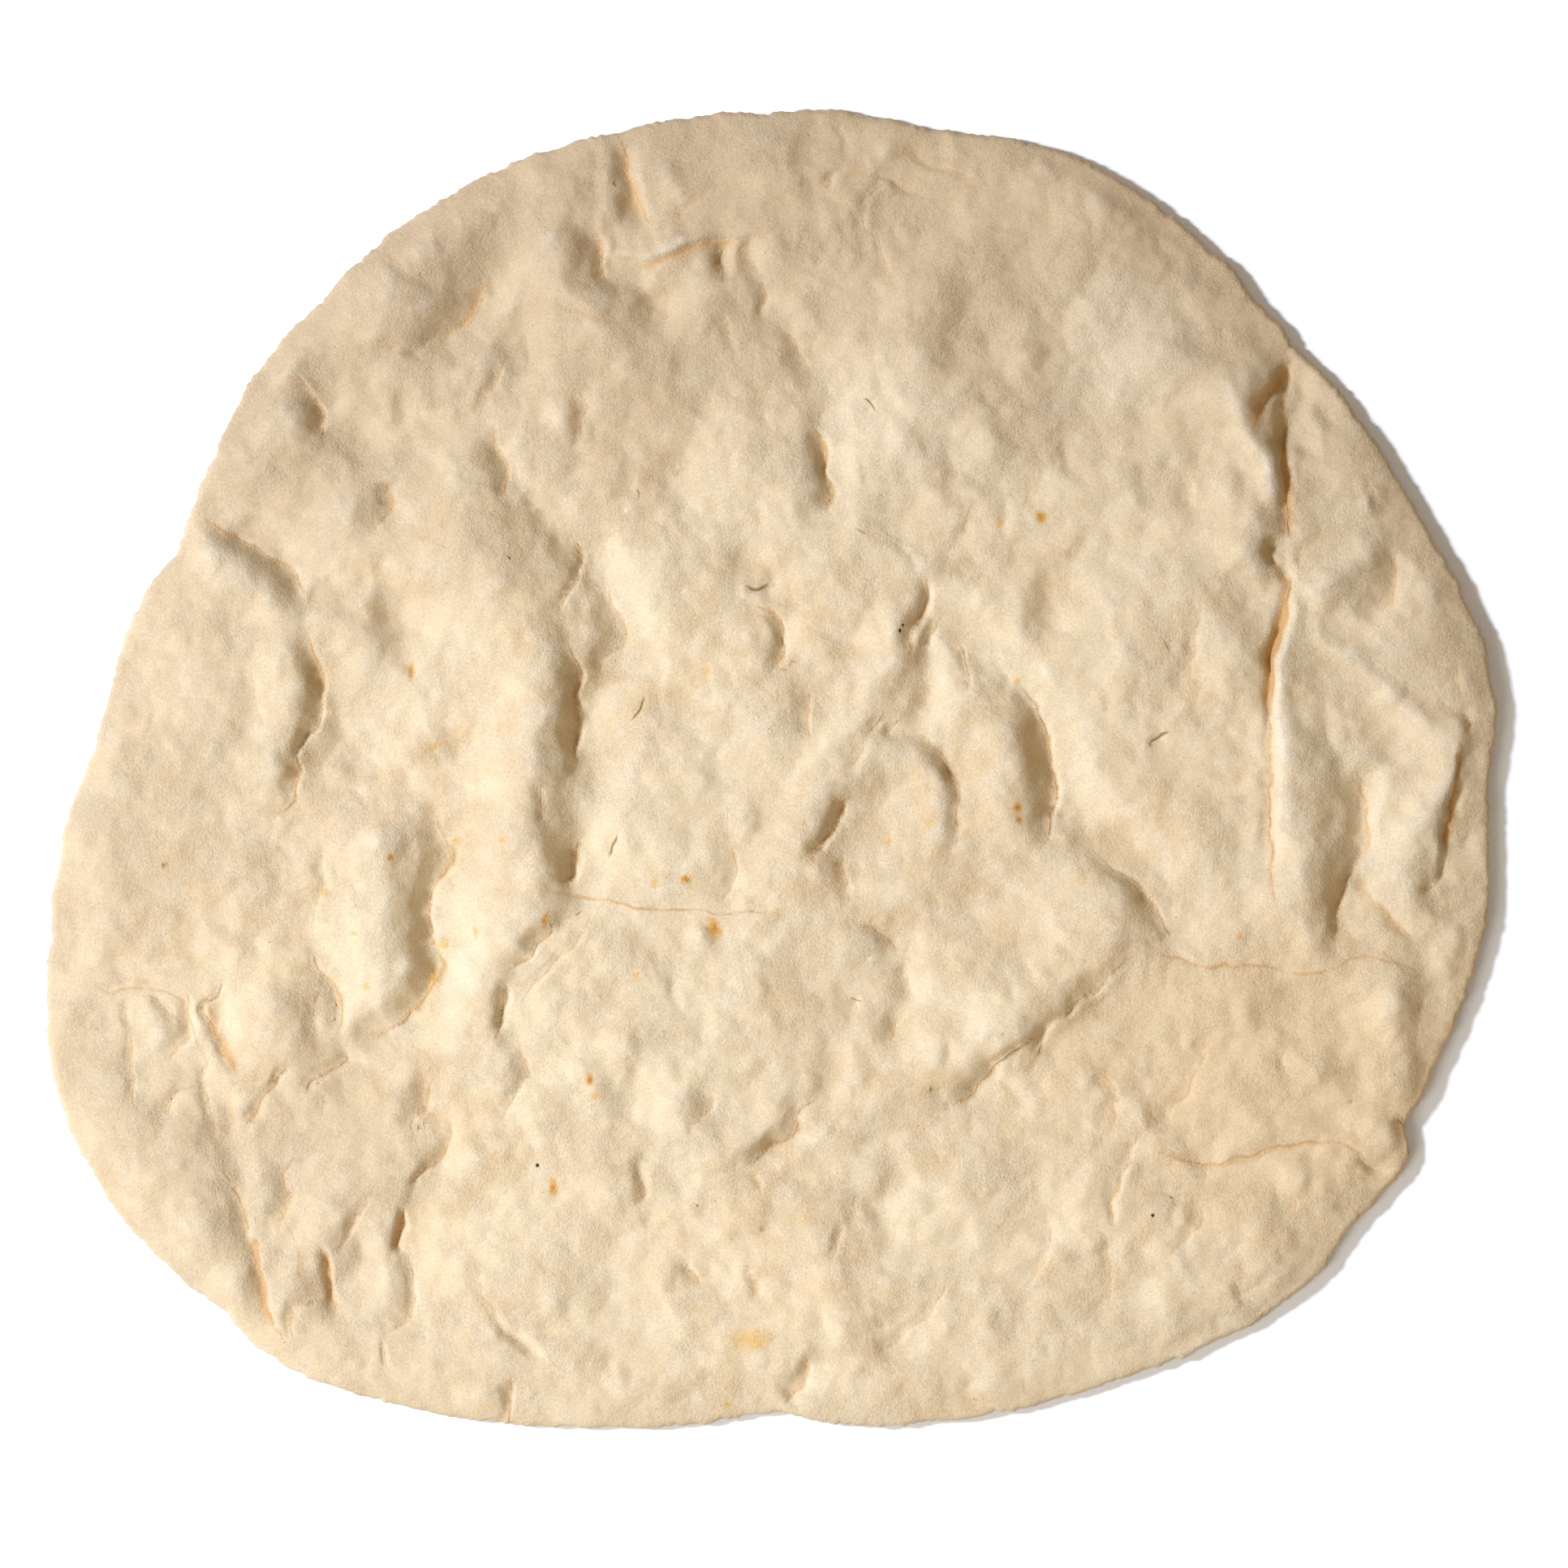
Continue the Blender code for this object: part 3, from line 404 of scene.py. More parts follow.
# Smaller mounds and hollows.
SMALL_MOUNDS = number_rows("""
-54 34 0.9 8 7 8, -47.5 26 0.8 4 4 7, -42 54.5 0.6 4 4 8 10, -37 16 0.5 4 4 9 -45, -52 5 0.5 3.5 3.5 9,
-41.5 -7 0.8 4 5 6, -39 -16 0.6 3 4 6, -21 -3 0.35 8 8 11, -15 -20 0.5 5 6 6, -1.5 -17 0.5 4 4 6,
12 39.5 0.5 5 5 7, 20 34 0.8 5 4 8, 35 42 0.4 12 8 3.5, 13 22 0.5 4 4 9 38, 57 35 0.6 5 5 7,
54.5 13 1 3.5 4 11 33, 20 -4 0.9 4 4 6 -55, 27 0 0.5 5 5 3, -28 -48 0.6 7, -1 -49 0.45 4 4 8,
45 -47 1 8 8 9, -51 57 -0.5 3 3 6 20, -42 43 -1 4 4 8, -25.5 25 -0.6 4 4 6, -18 14 -0.45 9 7 5 15,
-32 7 -0.65 5 4 7, -48 -16 -0.95 4.5 5 6 25, -58 -20 -0.8 6 6 8 20, -51 -37 -0.8 4 4 6 -45,
-59 -44 -1.2 7 6 5 -20, -62 -36 -0.8 5 5 8, 17 2.5 -1.1 3.5 3.5 10 -58, 31 7 -0.6 5, 17 -25 -0.55 4 4 5,
38 31 -0.7 6 6 8, 45 33 -0.5 5 4 6, 50 30 -0.5 5 5 3.5 30, 61 -12 -1.2 5 4 7 -15, 73 -21 -0.5 3 3 8 55,
26 -35 -0.6 3.5 3.5 8 -65, 38 -31 -0.45 9 9 4, 20 -49 -0.6 8 7 6, -51 132 0.65 8 8 3.5 -20,
-34 129 1.1 4 3.5 8, -38 123 0.8 6 5 4.5, 3 130 0.65 7 7 4.5, -24 89 0.7 5 4 6, -36 81 0.6 5 5 6,
-9 60 0.55 6, 7 65 0.6 4 4 9 20, 30 73 0.85 6, 47 73 1.05 8 7 7, 42 83 0.5 6 5 5, 54 90 0.6 7 7 9,
-60 102 -0.9 6 4 4.5, -45.5 97 -1 5 4 6.5 -25, -59 86 -1.1 6 6 7, -53 84 -0.5 6 5 5, -39 114 -0.8 4 4 3.5,
-8.5 112 -0.75 3 3 5, -2 114 -0.8 4 4 6, 2 107 -0.75 5 4 6 35, 12 97 -1.15 5 5 10, 17 86 -0.5 4 4 8 20,
-17 71 -0.5 5 5 8 -10, 28 132 -0.85 6 5 8, 22 123 -0.5 5 4 6 -20, 50 126 -0.6 8 7 6 30, 57 109 -0.55 6 5 6,
84 27 0.5 10 8 8, 98.5 57 0.55 4 4 6, 110 54 1 4 3 6, 106 44 0.85 4 5 6 30, 102 27 0.5 7 7 6 -40,
124.5 37 0.75 5 4 6 -40, 141 11.5 1.1 5 5 11 50, 83 -19 1.1 6 6 9 40, 63 -35 0.5 7 6 5 -30,
119.5 -23 0.85 5 5 8, 124 -32 0.7 4, 147.5 -15 0.9 3 3 7 -5, 69 39 -0.5 4 4 7 15, 128 30 -0.8 5 6 4.5,
119 8 -1.3 6 6 6 -30, 119 17 -0.5 5, 108 6 -0.5 6 4 6, 128.5 -2 -0.75 5 5 6, 154.5 -16 -0.5 3 3 10,
94 -27 -0.55 5 6 6, 91 -38 -0.7 7 6 5, 114.5 -37 -0.85 4 4 5, 72 -49 -1.1 5 4 7, -92 58 0.55 5 4 6,
-123 50 0.65 6 8 4.5, -121 41 0.5 9 7 4, -102.5 20 0.9 3 3 7 10, -132 -5 0.55 7, -128 18 0.3 12 12 14,
-112 -25 0.35 14 10 12, -85 -18 0.6 6 6 7 30, -73.5 41 0.8 8 7 6, -60 49 0.5 6 6 9, -62 33 0.5 8 8 7,
-79 -47.5 1.5 5 4 8 -20, -87 -48 0.7 6 5 4.5, -84.5 -54 0.8 5 5 4 -50, -84 -62.5 0.55 4 4 5,
-86 43 -0.8 5 5 5 -40, -100 1 -0.9 5 5 7, -83 13 -0.5 8 7 4, -73 18 -0.5 4 4 8, -69 6 -0.7 8 8 6,
-80 -5 -0.6 9 8 4 20, -62 113 0.7 5 4 5, -77 113.5 0.7 4 4 4.5 20, -81 106.5 0.8 6 6 5 40,
-74.5 100.5 1.05 6 6 4.5, -89 97 0.95 6 6 5, -107.5 88.5 0.75 4 4 5 -30, -104 78 0.7 6 4 4, -108 73 0.5 6,
-69.5 109 -0.7 3.5 3.5 5, -76 92.5 -0.75 5 4 4, -80 85 -0.65 4 4 5, -98.5 83 -0.65 4 6 4,
-66 77 -0.7 5 5 4 -40, -77 76 -0.7 6 7 6, -76 67 -0.9 6, -86 74 -0.6 8 6 6, -64 66 -0.65 6 6 6 20,
67 113 0.55 5 5 7 10, 87.5 97.5 0.8 7 5 5, 94 90.5 0.85 5 5 4, 103 90 0.8 7 6 5 20, 108 87 1 5,
103.5 76 1.05 4 3.5 5 -20, 107.5 66 1.05 4 3.5 4.5, 98 109 -0.5 3 3 8 42, 119.5 82 -1.2 3.5 5 7 20,
124 77 -0.6 4 4 6 30, 73 90 -0.6 6 7 9 15, 66 72.5 -0.9 5 5 6, 73 72 -0.85 4 4 5, 117.5 63 -0.6 4 4 5 20,
-41 -56.5 0.65 4 4 5, -57.5 -64 0.5 4 4 8 15, 18.5 -61 0.5 5, 25.5 -71 0.85 5 4 5,
10.5 -76.5 0.85 4 4 6 -20, 55 -64 1.35 7 6 5.5 -20, 50.5 -72 0.5 6 6 7 -20, 18 -121 0.75 6,
48 -124 0.5 5 5 6 30, 49.5 -136 0.75 6, -53 -67 -0.5 4 4 7 10, 29 -60.5 -0.75 5, 40.5 -75.5 -0.8 6 5 4,
23 -80.5 -0.8 8 6 5, 10.5 -85 -0.85 5 5 4.5 -40, 18 -98 -0.6 4 4 8 -20, -7.5 -107 -0.6 6 5 4.5,
13.5 -130 -0.7 6 6 4.5 30, -37 -134 -0.5 4 4 7 -15, -134 -69 0.55 7 6 6 -30, -130.5 -82 1.05 6 5 8,
-125 -97 0.55 5 4 7 -20, -117 -113 0.65 7 6 9 25, -103.5 -63 0.5 5 4 6 15, -93.5 -109 0.75 3 3 6 -20,
-74.5 -80.5 0.95 4 4 5, -62 -69 0.5 5 5 5 -30, -65 -138 0.85 7 7 3.5 -10, -94.5 -66.5 -1.2 5 4 6 -15,
-75 -67 -0.75 6 5 8, -153 -69 -0.45 5 5 7, -87 -112 -0.9 4 4 8 -20, -78 -116 -0.75 4.5 4.5 6,
-72 -98 -0.6 4 5 8, 135.5 -55 0.5 5 5 9 -15, 105 -84 0.5 9 9 3, 118 -91 0.75 8 7 4.5,
104 -102 0.55 6 6 4.5, 93 -109 0.65 5 5 7 -40, 62 -128.5 0.55 10 11 5 5, 80 -61 -0.8 4 4 5 -30,
75 -67 -0.75 5 5 4 -30, 84 -55 -0.5 4 4 8 -60, 119 -50 -0.5 5 5 7 -15, 134.5 -89 -0.9 3 4 5 -40,
64.5 -101 -0.65 5 4 6
""")

# Creases: depth, how far the walls reach on the line's right hand and on its left, and the line.
CREASES = line_rows("""
1 3 1.5: -88 114, -80 110.5, -73 106.5
1.7 7 1.2: -60 107, -63 104.5, -65.5 99.5, -71 96, -77 92.5
0.9 2 1.2: -70 99, -74 96, -79 92.5, -85 93.3, -92 91.5
2 4.5 1.2: -39.5 119.5, -39 115, -38.4 110, -36.8 106.5
0.8 1.5 2.5: -47.5 101, -41 100.3, -35 100.8, -30 99
2.2 6.5 1.2: -35.5 141, -32.5 136, -30.8 130, -28 122, -25.5 117.5
1 2 1.2: -9 131, -12 127, -17 124, -23 120.5
0.9 0.9 1.1: 3 122, -1 118.2, -8 117.3, -14 115.3, -20 113, -27 111, -34 110.3
0.8 1.4 0.8: -3 117, -6 112
1.5 2.5 1.4: -11 116, -10.3 110, -11 106
1.5 3 1: -58.5 91, -60.5 86, -63 82, -65.3 77.5
1.3 3.5 1.4: -42.5 84, -41.3 78, -43 72
2 4 1.1: -107 88, -103 83.5, -99.5 79.5, -98.8 76, -100 71
2 6.5 1.3: -129 54.9, -122 53.6, -116 49.8, -110 47, -105.3 44, -104 40, -100 38
2 6 1.3: -88 64, -84.8 60, -85.2 56, -89.5 52
2.4 4 1.1: -104 33, -100.3 25, -99 17, -100.5 9, -104.5 2.5, -106 -7, -113 -11
0.9 4 1.3: -115 25, -114.3 15, -113.3 7
0.8 2 1: -87 3, -87 -2
1.9 4 1: -63 76, -59.5 69, -59 62, -57 58.5
1 1.5 1.2: -57 58.6, -51.5 57.5, -49.5 53.5, -46 52.5
1.9 2.5 1: -46 52.5, -43.5 49, -43.8 43, -45.5 38, -48 35
1.3 5 1: -38.5 41, -35 35.5, -32.3 30, -35.5 26.5, -39.5 20
3 4.5 1.3: -44.5 29, -42 23, -43.3 15, -42.5 8, -43.8 0
0.8 1 0.8: -79.3 24, -79.5 20
1 1.3 0.8: -24.8 63, -27.3 60.8, -30.5 60.2, -32.7 61.3
1 3 1.3: -16.3 70, -18 66.5, -22 64
0.9 3 1.3: -31 54, -36 50.2, -38.7 46, -36.5 40
0.9 0.7 0.5: -28.1 16, -28.8 13.3, -30.5 11.3
2.6 4.2 1.1: 7 77, 11 72, 11.6 65, 13 60, 11 54
0.6 1 1: 21 50.7, 27 48.8, 33 47.2, 38 47.2, 44 43.8
1 3 1.2: 46.5 61.5, 44 57, 43.3 51
1 0.7 0.7: 1.5 41.6, -1 40.2, -3.5 40, -6.5 40.6
2.1 2.8 1.1: -5 37.5, -1 35.8, 1.8 31, 3 27.5, 1 23, -2 19.5
1.6 3.5 1.1: 7.5 20, 8.2 13, 7.8 5
2.4 2.6 1.4: 34 43, 34 37, 32.5 32, 30.5 28, 29.8 22
1.5 1.8 0.9: 37 32, 35 27.5, 33.5 24
1.5 2.8 1.1: 41 28, 43.7 24, 43.7 19, 42 15.5
1.5 3.5 1.5: 25 13, 21.5 8.5, 18.7 4, 14.5 -0.5
0.9 1.3 0.9: 27.5 11, 25 6
1.5 2.5 1.5: 30 8.5, 34 5, 38 1.5, 40.5 -4, 40.3 -12, 39.5 -20
2.9 8 1.3: 54 21, 58 15.5, 61 7, 63.2 -1, 61.8 -9, 58.5 -16, 56 -19
1.3 3.2 1.2: 95 39, 94 30, 93 24, 91.5 20, 94 15.5
1.3 1.2 0.9: 87.3 7.5, 85 6, 82.5 4.3
1.9 3.5 1.4: 71 -19.5, 76 -23, 80.5 -26, 84.5 -31, 87.5 -37.5, 88 -41
0.7 1 0.9: 83 -39.5, 88 -41, 94 -43.4, 101 -44, 111 -44.2
2.2 4.5 1.7: 81.5 -39.5, 77 -44, 71.5 -48.3, 65 -53.3, 60 -57.5, 58.5 -62, 56.5 -68
2 3.5 2.5: 61 -55, 57 -59.5, 51.5 -63.5, 46.5 -69, 41 -74, 33 -76.3
0.8 2.5 1: 55.8 -41, 56.7 -46, 56 -50.5
1 2 1: 36.5 -70, 36.3 -75
2 3.4 1.8: 114 90, 111.3 84, 108 79, 105.6 75
2.4 3.2 1.5: 111.5 50.5, 110.5 47.5, 112 44.5
1.2 4.5 1: 110.3 28, 109.7 20, 109 12
1 2.5 1.5: 91 64, 92.5 60, 90 55
0.9 1.5 1.2: 119 52, 117.5 48, 115.5 45
1 1.5 1.2: 130.3 65, 131.5 61, 134 56
1.5 5 1.2: 139 50.5, 136.3 47.5, 136.8 41, 134.3 34.5
1 2 1.5: 148.5 24, 149.5 17, 150 14
1 1.3 1.3: 144 14, 149 12.6, 152.5 11.6, 153.5 9, 152 7
2 1 2.6: 152 8, 151.4 2, 151 -5, 150.2 -12, 149 -21
1.5 4 1.6: 149.5 -18, 148 -23, 145 -26, 141 -27.3
2 6 1.3: 126 4, 130 -3, 132 -9, 131.6 -17, 129.6 -21, 127.6 -25, 126 -31, 125.2 -37, 125.6 -43
1.3 1.5 1.3: 129.3 -19.5, 131.3 -24, 133.5 -30, 137.5 -35.5, 142.5 -39.5
1 1 1: 154.5 -33.5, 157.5 -36.5
1.2 1.6 1: 154 -52, 151.3 -57.5
1 1.5 1: 111.3 -61, 112.3 -64, 113.5 -68
1.3 3.5 1.2: 96 -57, 95 -62, 93.8 -67, 91.8 -71.5, 88.3 -75, 87.7 -81
0.9 1.5 2: 82 -76, 85.5 -79.5, 88 -81
2.2 1.8 1.2: 136.5 -76, 139 -78.5, 141.5 -80.5
2 3 1.4: 143.5 -76, 141 -80, 140.5 -86.5
0.9 0.7 0.9: 82 -85, 88 -85.3, 93 -86.3, 97 -87.5, 104 -87.2, 112 -85.7, 120 -84.2, 126.5 -83.5, 130.5 -86,
    134 -88.7, 139 -88
1.4 1.4 1.4: 129.5 -85.3, 133 -88.3, 138 -88.3
1.2 3 1.2: 127 -93.5, 130 -98, 131 -101
1.1 2.5 1: 108.5 -91.3, 112.5 -94.2, 115.7 -96, 115.3 -99, 117 -102
0.8 0.9 2.5: 81 -92.5, 86 -95, 90 -96, 95 -96.5
1.3 3 1: 95 -96.5, 94.7 -100.5, 90.5 -104, 88 -108
1.4 3.2 1.1: 74.5 -66, 75 -70, 76.5 -73, 75.8 -79
1.5 5 1: 80.5 -79, 80.5 -84, 79.8 -89, 77.5 -95, 76.8 -103
0.9 2.5 1.2: 74.5 -105, 75 -112, 73.5 -121
1 2.5 1: 61.3 -101, 60.8 -106, 58.5 -112, 54.5 -116.5
1.2 2 1.5: 100 -112, 103 -115.5, 106.5 -118
1.6 2.5 1: 108.3 -118, 107.5 -122
0.8 0.9 0.9: -151 -47.5, -144 -47.3, -138 -47.2, -134.5 -48.4, -131.5 -48.5
1.6 3 1: -131.5 -48.5, -130 -52, -128.7 -56.5, -130.5 -61, -133 -65
1.1 1.3 1.6: -138 -50.3, -134.5 -53.3, -130 -56
2.6 1.6 1.2: -124.5 -44.5, -122.8 -47.3, -124.5 -51, -126 -52.5, -123.3 -55.5, -121 -61.5, -117.5 -69
1.7 3.2 1: -126 -61, -125.3 -66, -125 -72, -123.5 -78, -122.7 -84
1.4 1.8 1.4: -126.5 -69, -131 -72, -134.5 -75.5
1.3 1.2 1: -142.5 -50, -142.3 -54.5, -140.3 -58
1.5 2 1.1: -141.7 -57.5, -141 -63, -141 -69, -141.5 -76
1.3 2.5 1.2: -120 -70, -119.3 -77, -118.5 -82
2.4 2 1.6: -106.3 -64, -109 -69, -112.5 -73.5, -118 -79
2.2 6 1.6: -101.5 -40, -99.5 -45, -96.3 -49, -95.5 -55, -96 -60
1.6 3 1.4: -100.7 -48, -100.7 -55, -101 -60
2.4 3.6 1.4: -93.5 -60.5, -96 -65.5, -101 -69.3, -102.3 -73
1 1.5 1: -98.5 -71, -99.5 -77
0.9 2 1.1: -98.5 -24, -98 -29
1.1 4 1.2: -99.5 -18, -99.5 -27, -101 -40
2.8 9 1.4: -77 -5, -72 -13, -70.5 -20, -74 -27, -75.5 -35, -73.3 -40, -71.8 -43.5, -75 -49.5, -80.5 -55,
    -87 -58.3, -94 -61.5
3 3.5 1.6: -45.5 -15, -44.5 -21, -46.5 -27
1.3 2 1.5: -50.5 -3, -51 -8, -51.5 -13
2.3 4 1.2: -50.3 -29.5, -49 -34.5, -52.5 -39, -56.5 -42.3, -60.5 -44.3
2.5 3 1.1: -59.8 -44, -58.3 -49, -58.8 -55, -61 -58.5, -64 -61
1.4 2.2 1.1: -38.8 -29, -41 -33.5, -43.5 -38, -48 -42.5, -53 -47.5, -56 -53
1.7 2.8 1.1: -55 -59, -54.7 -64, -53.6 -69, -57 -73, -60.5 -78
2 4.5 1.1: -74 -67.5, -76 -72, -79.5 -75.5, -80.3 -80
0.9 1 0.7: -34 -13, -36 -16, -38.3 -19
1.4 3 1.2: -9.3 -17, -9.5 -23, -12.5 -29
1.5 3 1.2: -14 -69, -14.5 -75, -18.5 -79
3 3.6 1.2: 14 -5.5, 15.3 -9.5, 13.5 -14, 10.5 -18.5, 6.3 -22
1.5 2.5 1.1: 15.2 -19, 15.2 -24, 16.2 -28, 15.5 -32
1.5 2.5 1.8: 15.5 -32, 20.5 -35, 24.5 -38.5, 28 -43.5
1.3 4 1.1: 28 -43, 30 -48, 30.8 -53
0.9 1.2 0.9: 45 -13.5, 42 -16.5, 39 -17.8
0.9 0.8 0.8: 18.2 -50, 16.3 -52.8
1.3 3.5 1.1: 29 -53, 26.7 -57, 26.3 -63
2 3.5 1.8: 10.5 -70.5, 6 -74.5, 4 -79, 0 -83, -4 -85.5, -7.5 -88.5
1.4 1.2 0.9: -5.5 -88, -3 -90, -2 -93.5
0.7 0.9 1: -5.5 -88.2, -10 -88.6, -16 -90
1.6 1.8 1.1: 14.5 -100, 14 -104, 12.5 -108.5
1.3 1.2 1: 23 -118, 24.5 -120.8, 27 -122
1.3 3.2 1.1: 38.5 -110, 36.5 -115, 33.8 -120.5, 28.5 -125, 23 -128.3
1 3 1.2: -29.2 -80, -28.2 -86, -29 -93, -31 -98
1.6 2.2 1.2: -29.3 -85, -29.3 -96
1.8 2.4 1.2: -21 -109, -18.5 -112, -17.3 -116
1.2 2.5 1: -67 -108.5, -65 -114, -62 -119, -58.5 -123.5, -55 -127, -50 -132, -46 -134
1.6 3.5 1.4: -60.5 -122, -56.5 -126, -52.5 -131
2.6 3.2 1.3: -58.5 -134, -58 -139, -59 -145
2.2 2.5 1.1: -73.5 -76, -71.7 -80, -73 -84, -75 -87, -78 -90, -79.5 -95
3.2 2 1.4: -80.3 -96, -80.5 -102, -82.5 -107.5
1.8 2.8 1.1: -80.3 -107, -79.2 -113, -78.5 -118.5, -81 -121.5, -86 -125.5
1.6 0.9 0.9: -87 -125.5, -85.7 -129, -85.7 -133
2 9 1.2: -123.3 -82, -120 -90, -117 -95, -115 -99.5, -115.3 -104, -112.8 -109, -111 -114, -110.5 -120,
    -108.8 -126, -108 -131
1.3 3 1.4: -115.5 -103, -112.5 -109, -111 -116
1.6 4 1.1: -104.5 -84, -107.7 -90, -106.8 -95, -109 -100, -109.7 -105
1.5 4 1.1: -90 -92, -90.3 -98, -93.5 -103.5, -98 -107.5
2.8 2.2 1.2: -101.5 -105, -98.3 -109, -97.5 -113, -96.5 -117, -94 -122
1.6 2.5 1.3: -97.5 -117.8, -102 -118, -105 -120.5, -106 -127
1 1.6 1.2: -6 -110, -4 -114, -2.5 -118
1.8 3 1.1: 7 -128, 8.8 -131, 8.3 -135, 5.5 -138.5, 2.5 -142
1 1.6 1: 13 145, 15.5 140, 17.3 136.5
0.9 1 1: 11 132.3, 18 131.8, 25 130.6, 30 127.5, 34.5 124
1.5 3.5 1.3: 12.5 133, 11.3 127.5
1.3 3.2 1.5: 24.5 131, 20.5 126.5, 18.3 120.5, 18.8 118
1 1 1: 26 137.6, 33 134.6, 40 130.4, 43.6 128, 45.3 124.5
1 1.8 1: 22.8 119, 23.4 112, 25.5 107
1.3 2.2 1.1: -0.5 110, -0.3 104, -2 100
0.9 1.3 1: -11 101, -9 95.5, -7 89.5
1 2.5 1.2: -1.5 100, 3 96, 6.3 90.8, 11.5 84
0.9 1 1: 20.5 78, 22.3 80.2, 24 82.5
2.2 4 1.8: 115.2 94, 114.4 89.5, 112.4 84.5, 113.4 79
2.8 3.5 2: 113 81, 113.6 74.5, 112 69, 113.6 61.5, 114 53, 112.4 48
2.6 3 2: 112.6 50, 112 46, 114.7 41, 112.6 32.5, 110.5 25, 109.8 10, 109.6 -8, 110.6 -22, 113 -36
""")


def smooth_line(points, spacing, closed=False):
    """Points about every spacing along a smooth curve through the given points."""
    given = np.asarray(points, float)
    if closed:
        padded = np.vstack([given[-1], given, given[:2]])
    else:
        padded = np.vstack([2 * given[0] - given[1], given, 2 * given[-1] - given[-2]])
    pieces = []
    for before, start, end, after in zip(padded, padded[1:], padded[2:], padded[3:]):
        count = max(2, math.ceil(np.linalg.norm(end - start) / spacing))
        t = np.linspace(0, 1, count, endpoint=False)[:, None]
        bend = 2 * before - 5 * start + 4 * end - after
        twist = 3 * start - before - 3 * end + after
        pieces.append(start + 0.5 * ((end - before) * t + bend * t**2 + twist * t**3))
    if not closed:
        pieces.append(padded[-2][None])
    return np.concatenate(pieces)


def smooth_step(t):
    t = np.clip(t, 0, 1)
    return t * t * (3 - 2 * t)


def faded_ends(share, end_share):
    """1 along a line, and down to 0 over a share of its length at each end."""
    return smooth_step(share / end_share) * smooth_step((1 - share) / end_share)


def outline_curve():
    """The outline as directions from the origin and the distances to it, moved to the box's middle."""
    curve = smooth_line(OUTLINE, OUTLINE_SPACING, closed=True)
    curve -= (curve.min(axis=0) + curve.max(axis=0)) / 2
    directions = np.arctan2(curve[:, 1], curve[:, 0])
    order = np.argsort(directions)
    return directions[order], np.hypot(curve[:, 0], curve[:, 1])[order]


OUTLINE_DIRECTIONS, OUTLINE_DISTANCES = outline_curve()


def outline_radius(angle):
    """How far the outline is from the origin in each direction."""
    return np.interp(angle, OUTLINE_DIRECTIONS, OUTLINE_DISTANCES, period=2 * math.pi)


def edge_wobble(angle):
    """The fine unevenness of the outline: a sum of waves round the edge, each of its own length."""
    random = np.random.default_rng(EDGE_SEED)
    wobble = np.zeros_like(angle)
    for waves, size in EDGE_WAVES:
        for spread in EDGE_WAVE_SPREAD:
            turns = round(waves * spread)
            wobble += size * np.sin(turns * angle + random.uniform(0, 2 * math.pi))
    return wobble


def to_line(points, x, y):
    """For each place: how far it is from the line through the points, which side of it it is on
    (above 0 on the line's left hand), and at what share of the line's length."""
    steps = points[1:] - points[:-1]
    lengths = np.hypot(steps[:, 0], steps[:, 1])
    starts = np.concatenate([[0], np.cumsum(lengths)])
    nearest = np.full(x.shape, np.inf)
    side = np.zeros(x.shape)
    along = np.zeros(x.shape)
    for (ax, ay), (sx, sy), length, start in zip(points, steps, lengths, starts):
        dx, dy = x - ax, y - ay
        t = np.clip((dx * sx + dy * sy) / length**2, 0, 1)
        distance = (dx - t * sx) ** 2 + (dy - t * sy) ** 2
        closer = distance < nearest
        nearest = np.where(closer, distance, nearest)
        side = np.where(closer, sx * dy - sy * dx, side)
        along = np.where(closer, start + t * length, along)
    return np.sqrt(nearest), side, along / starts[-1]


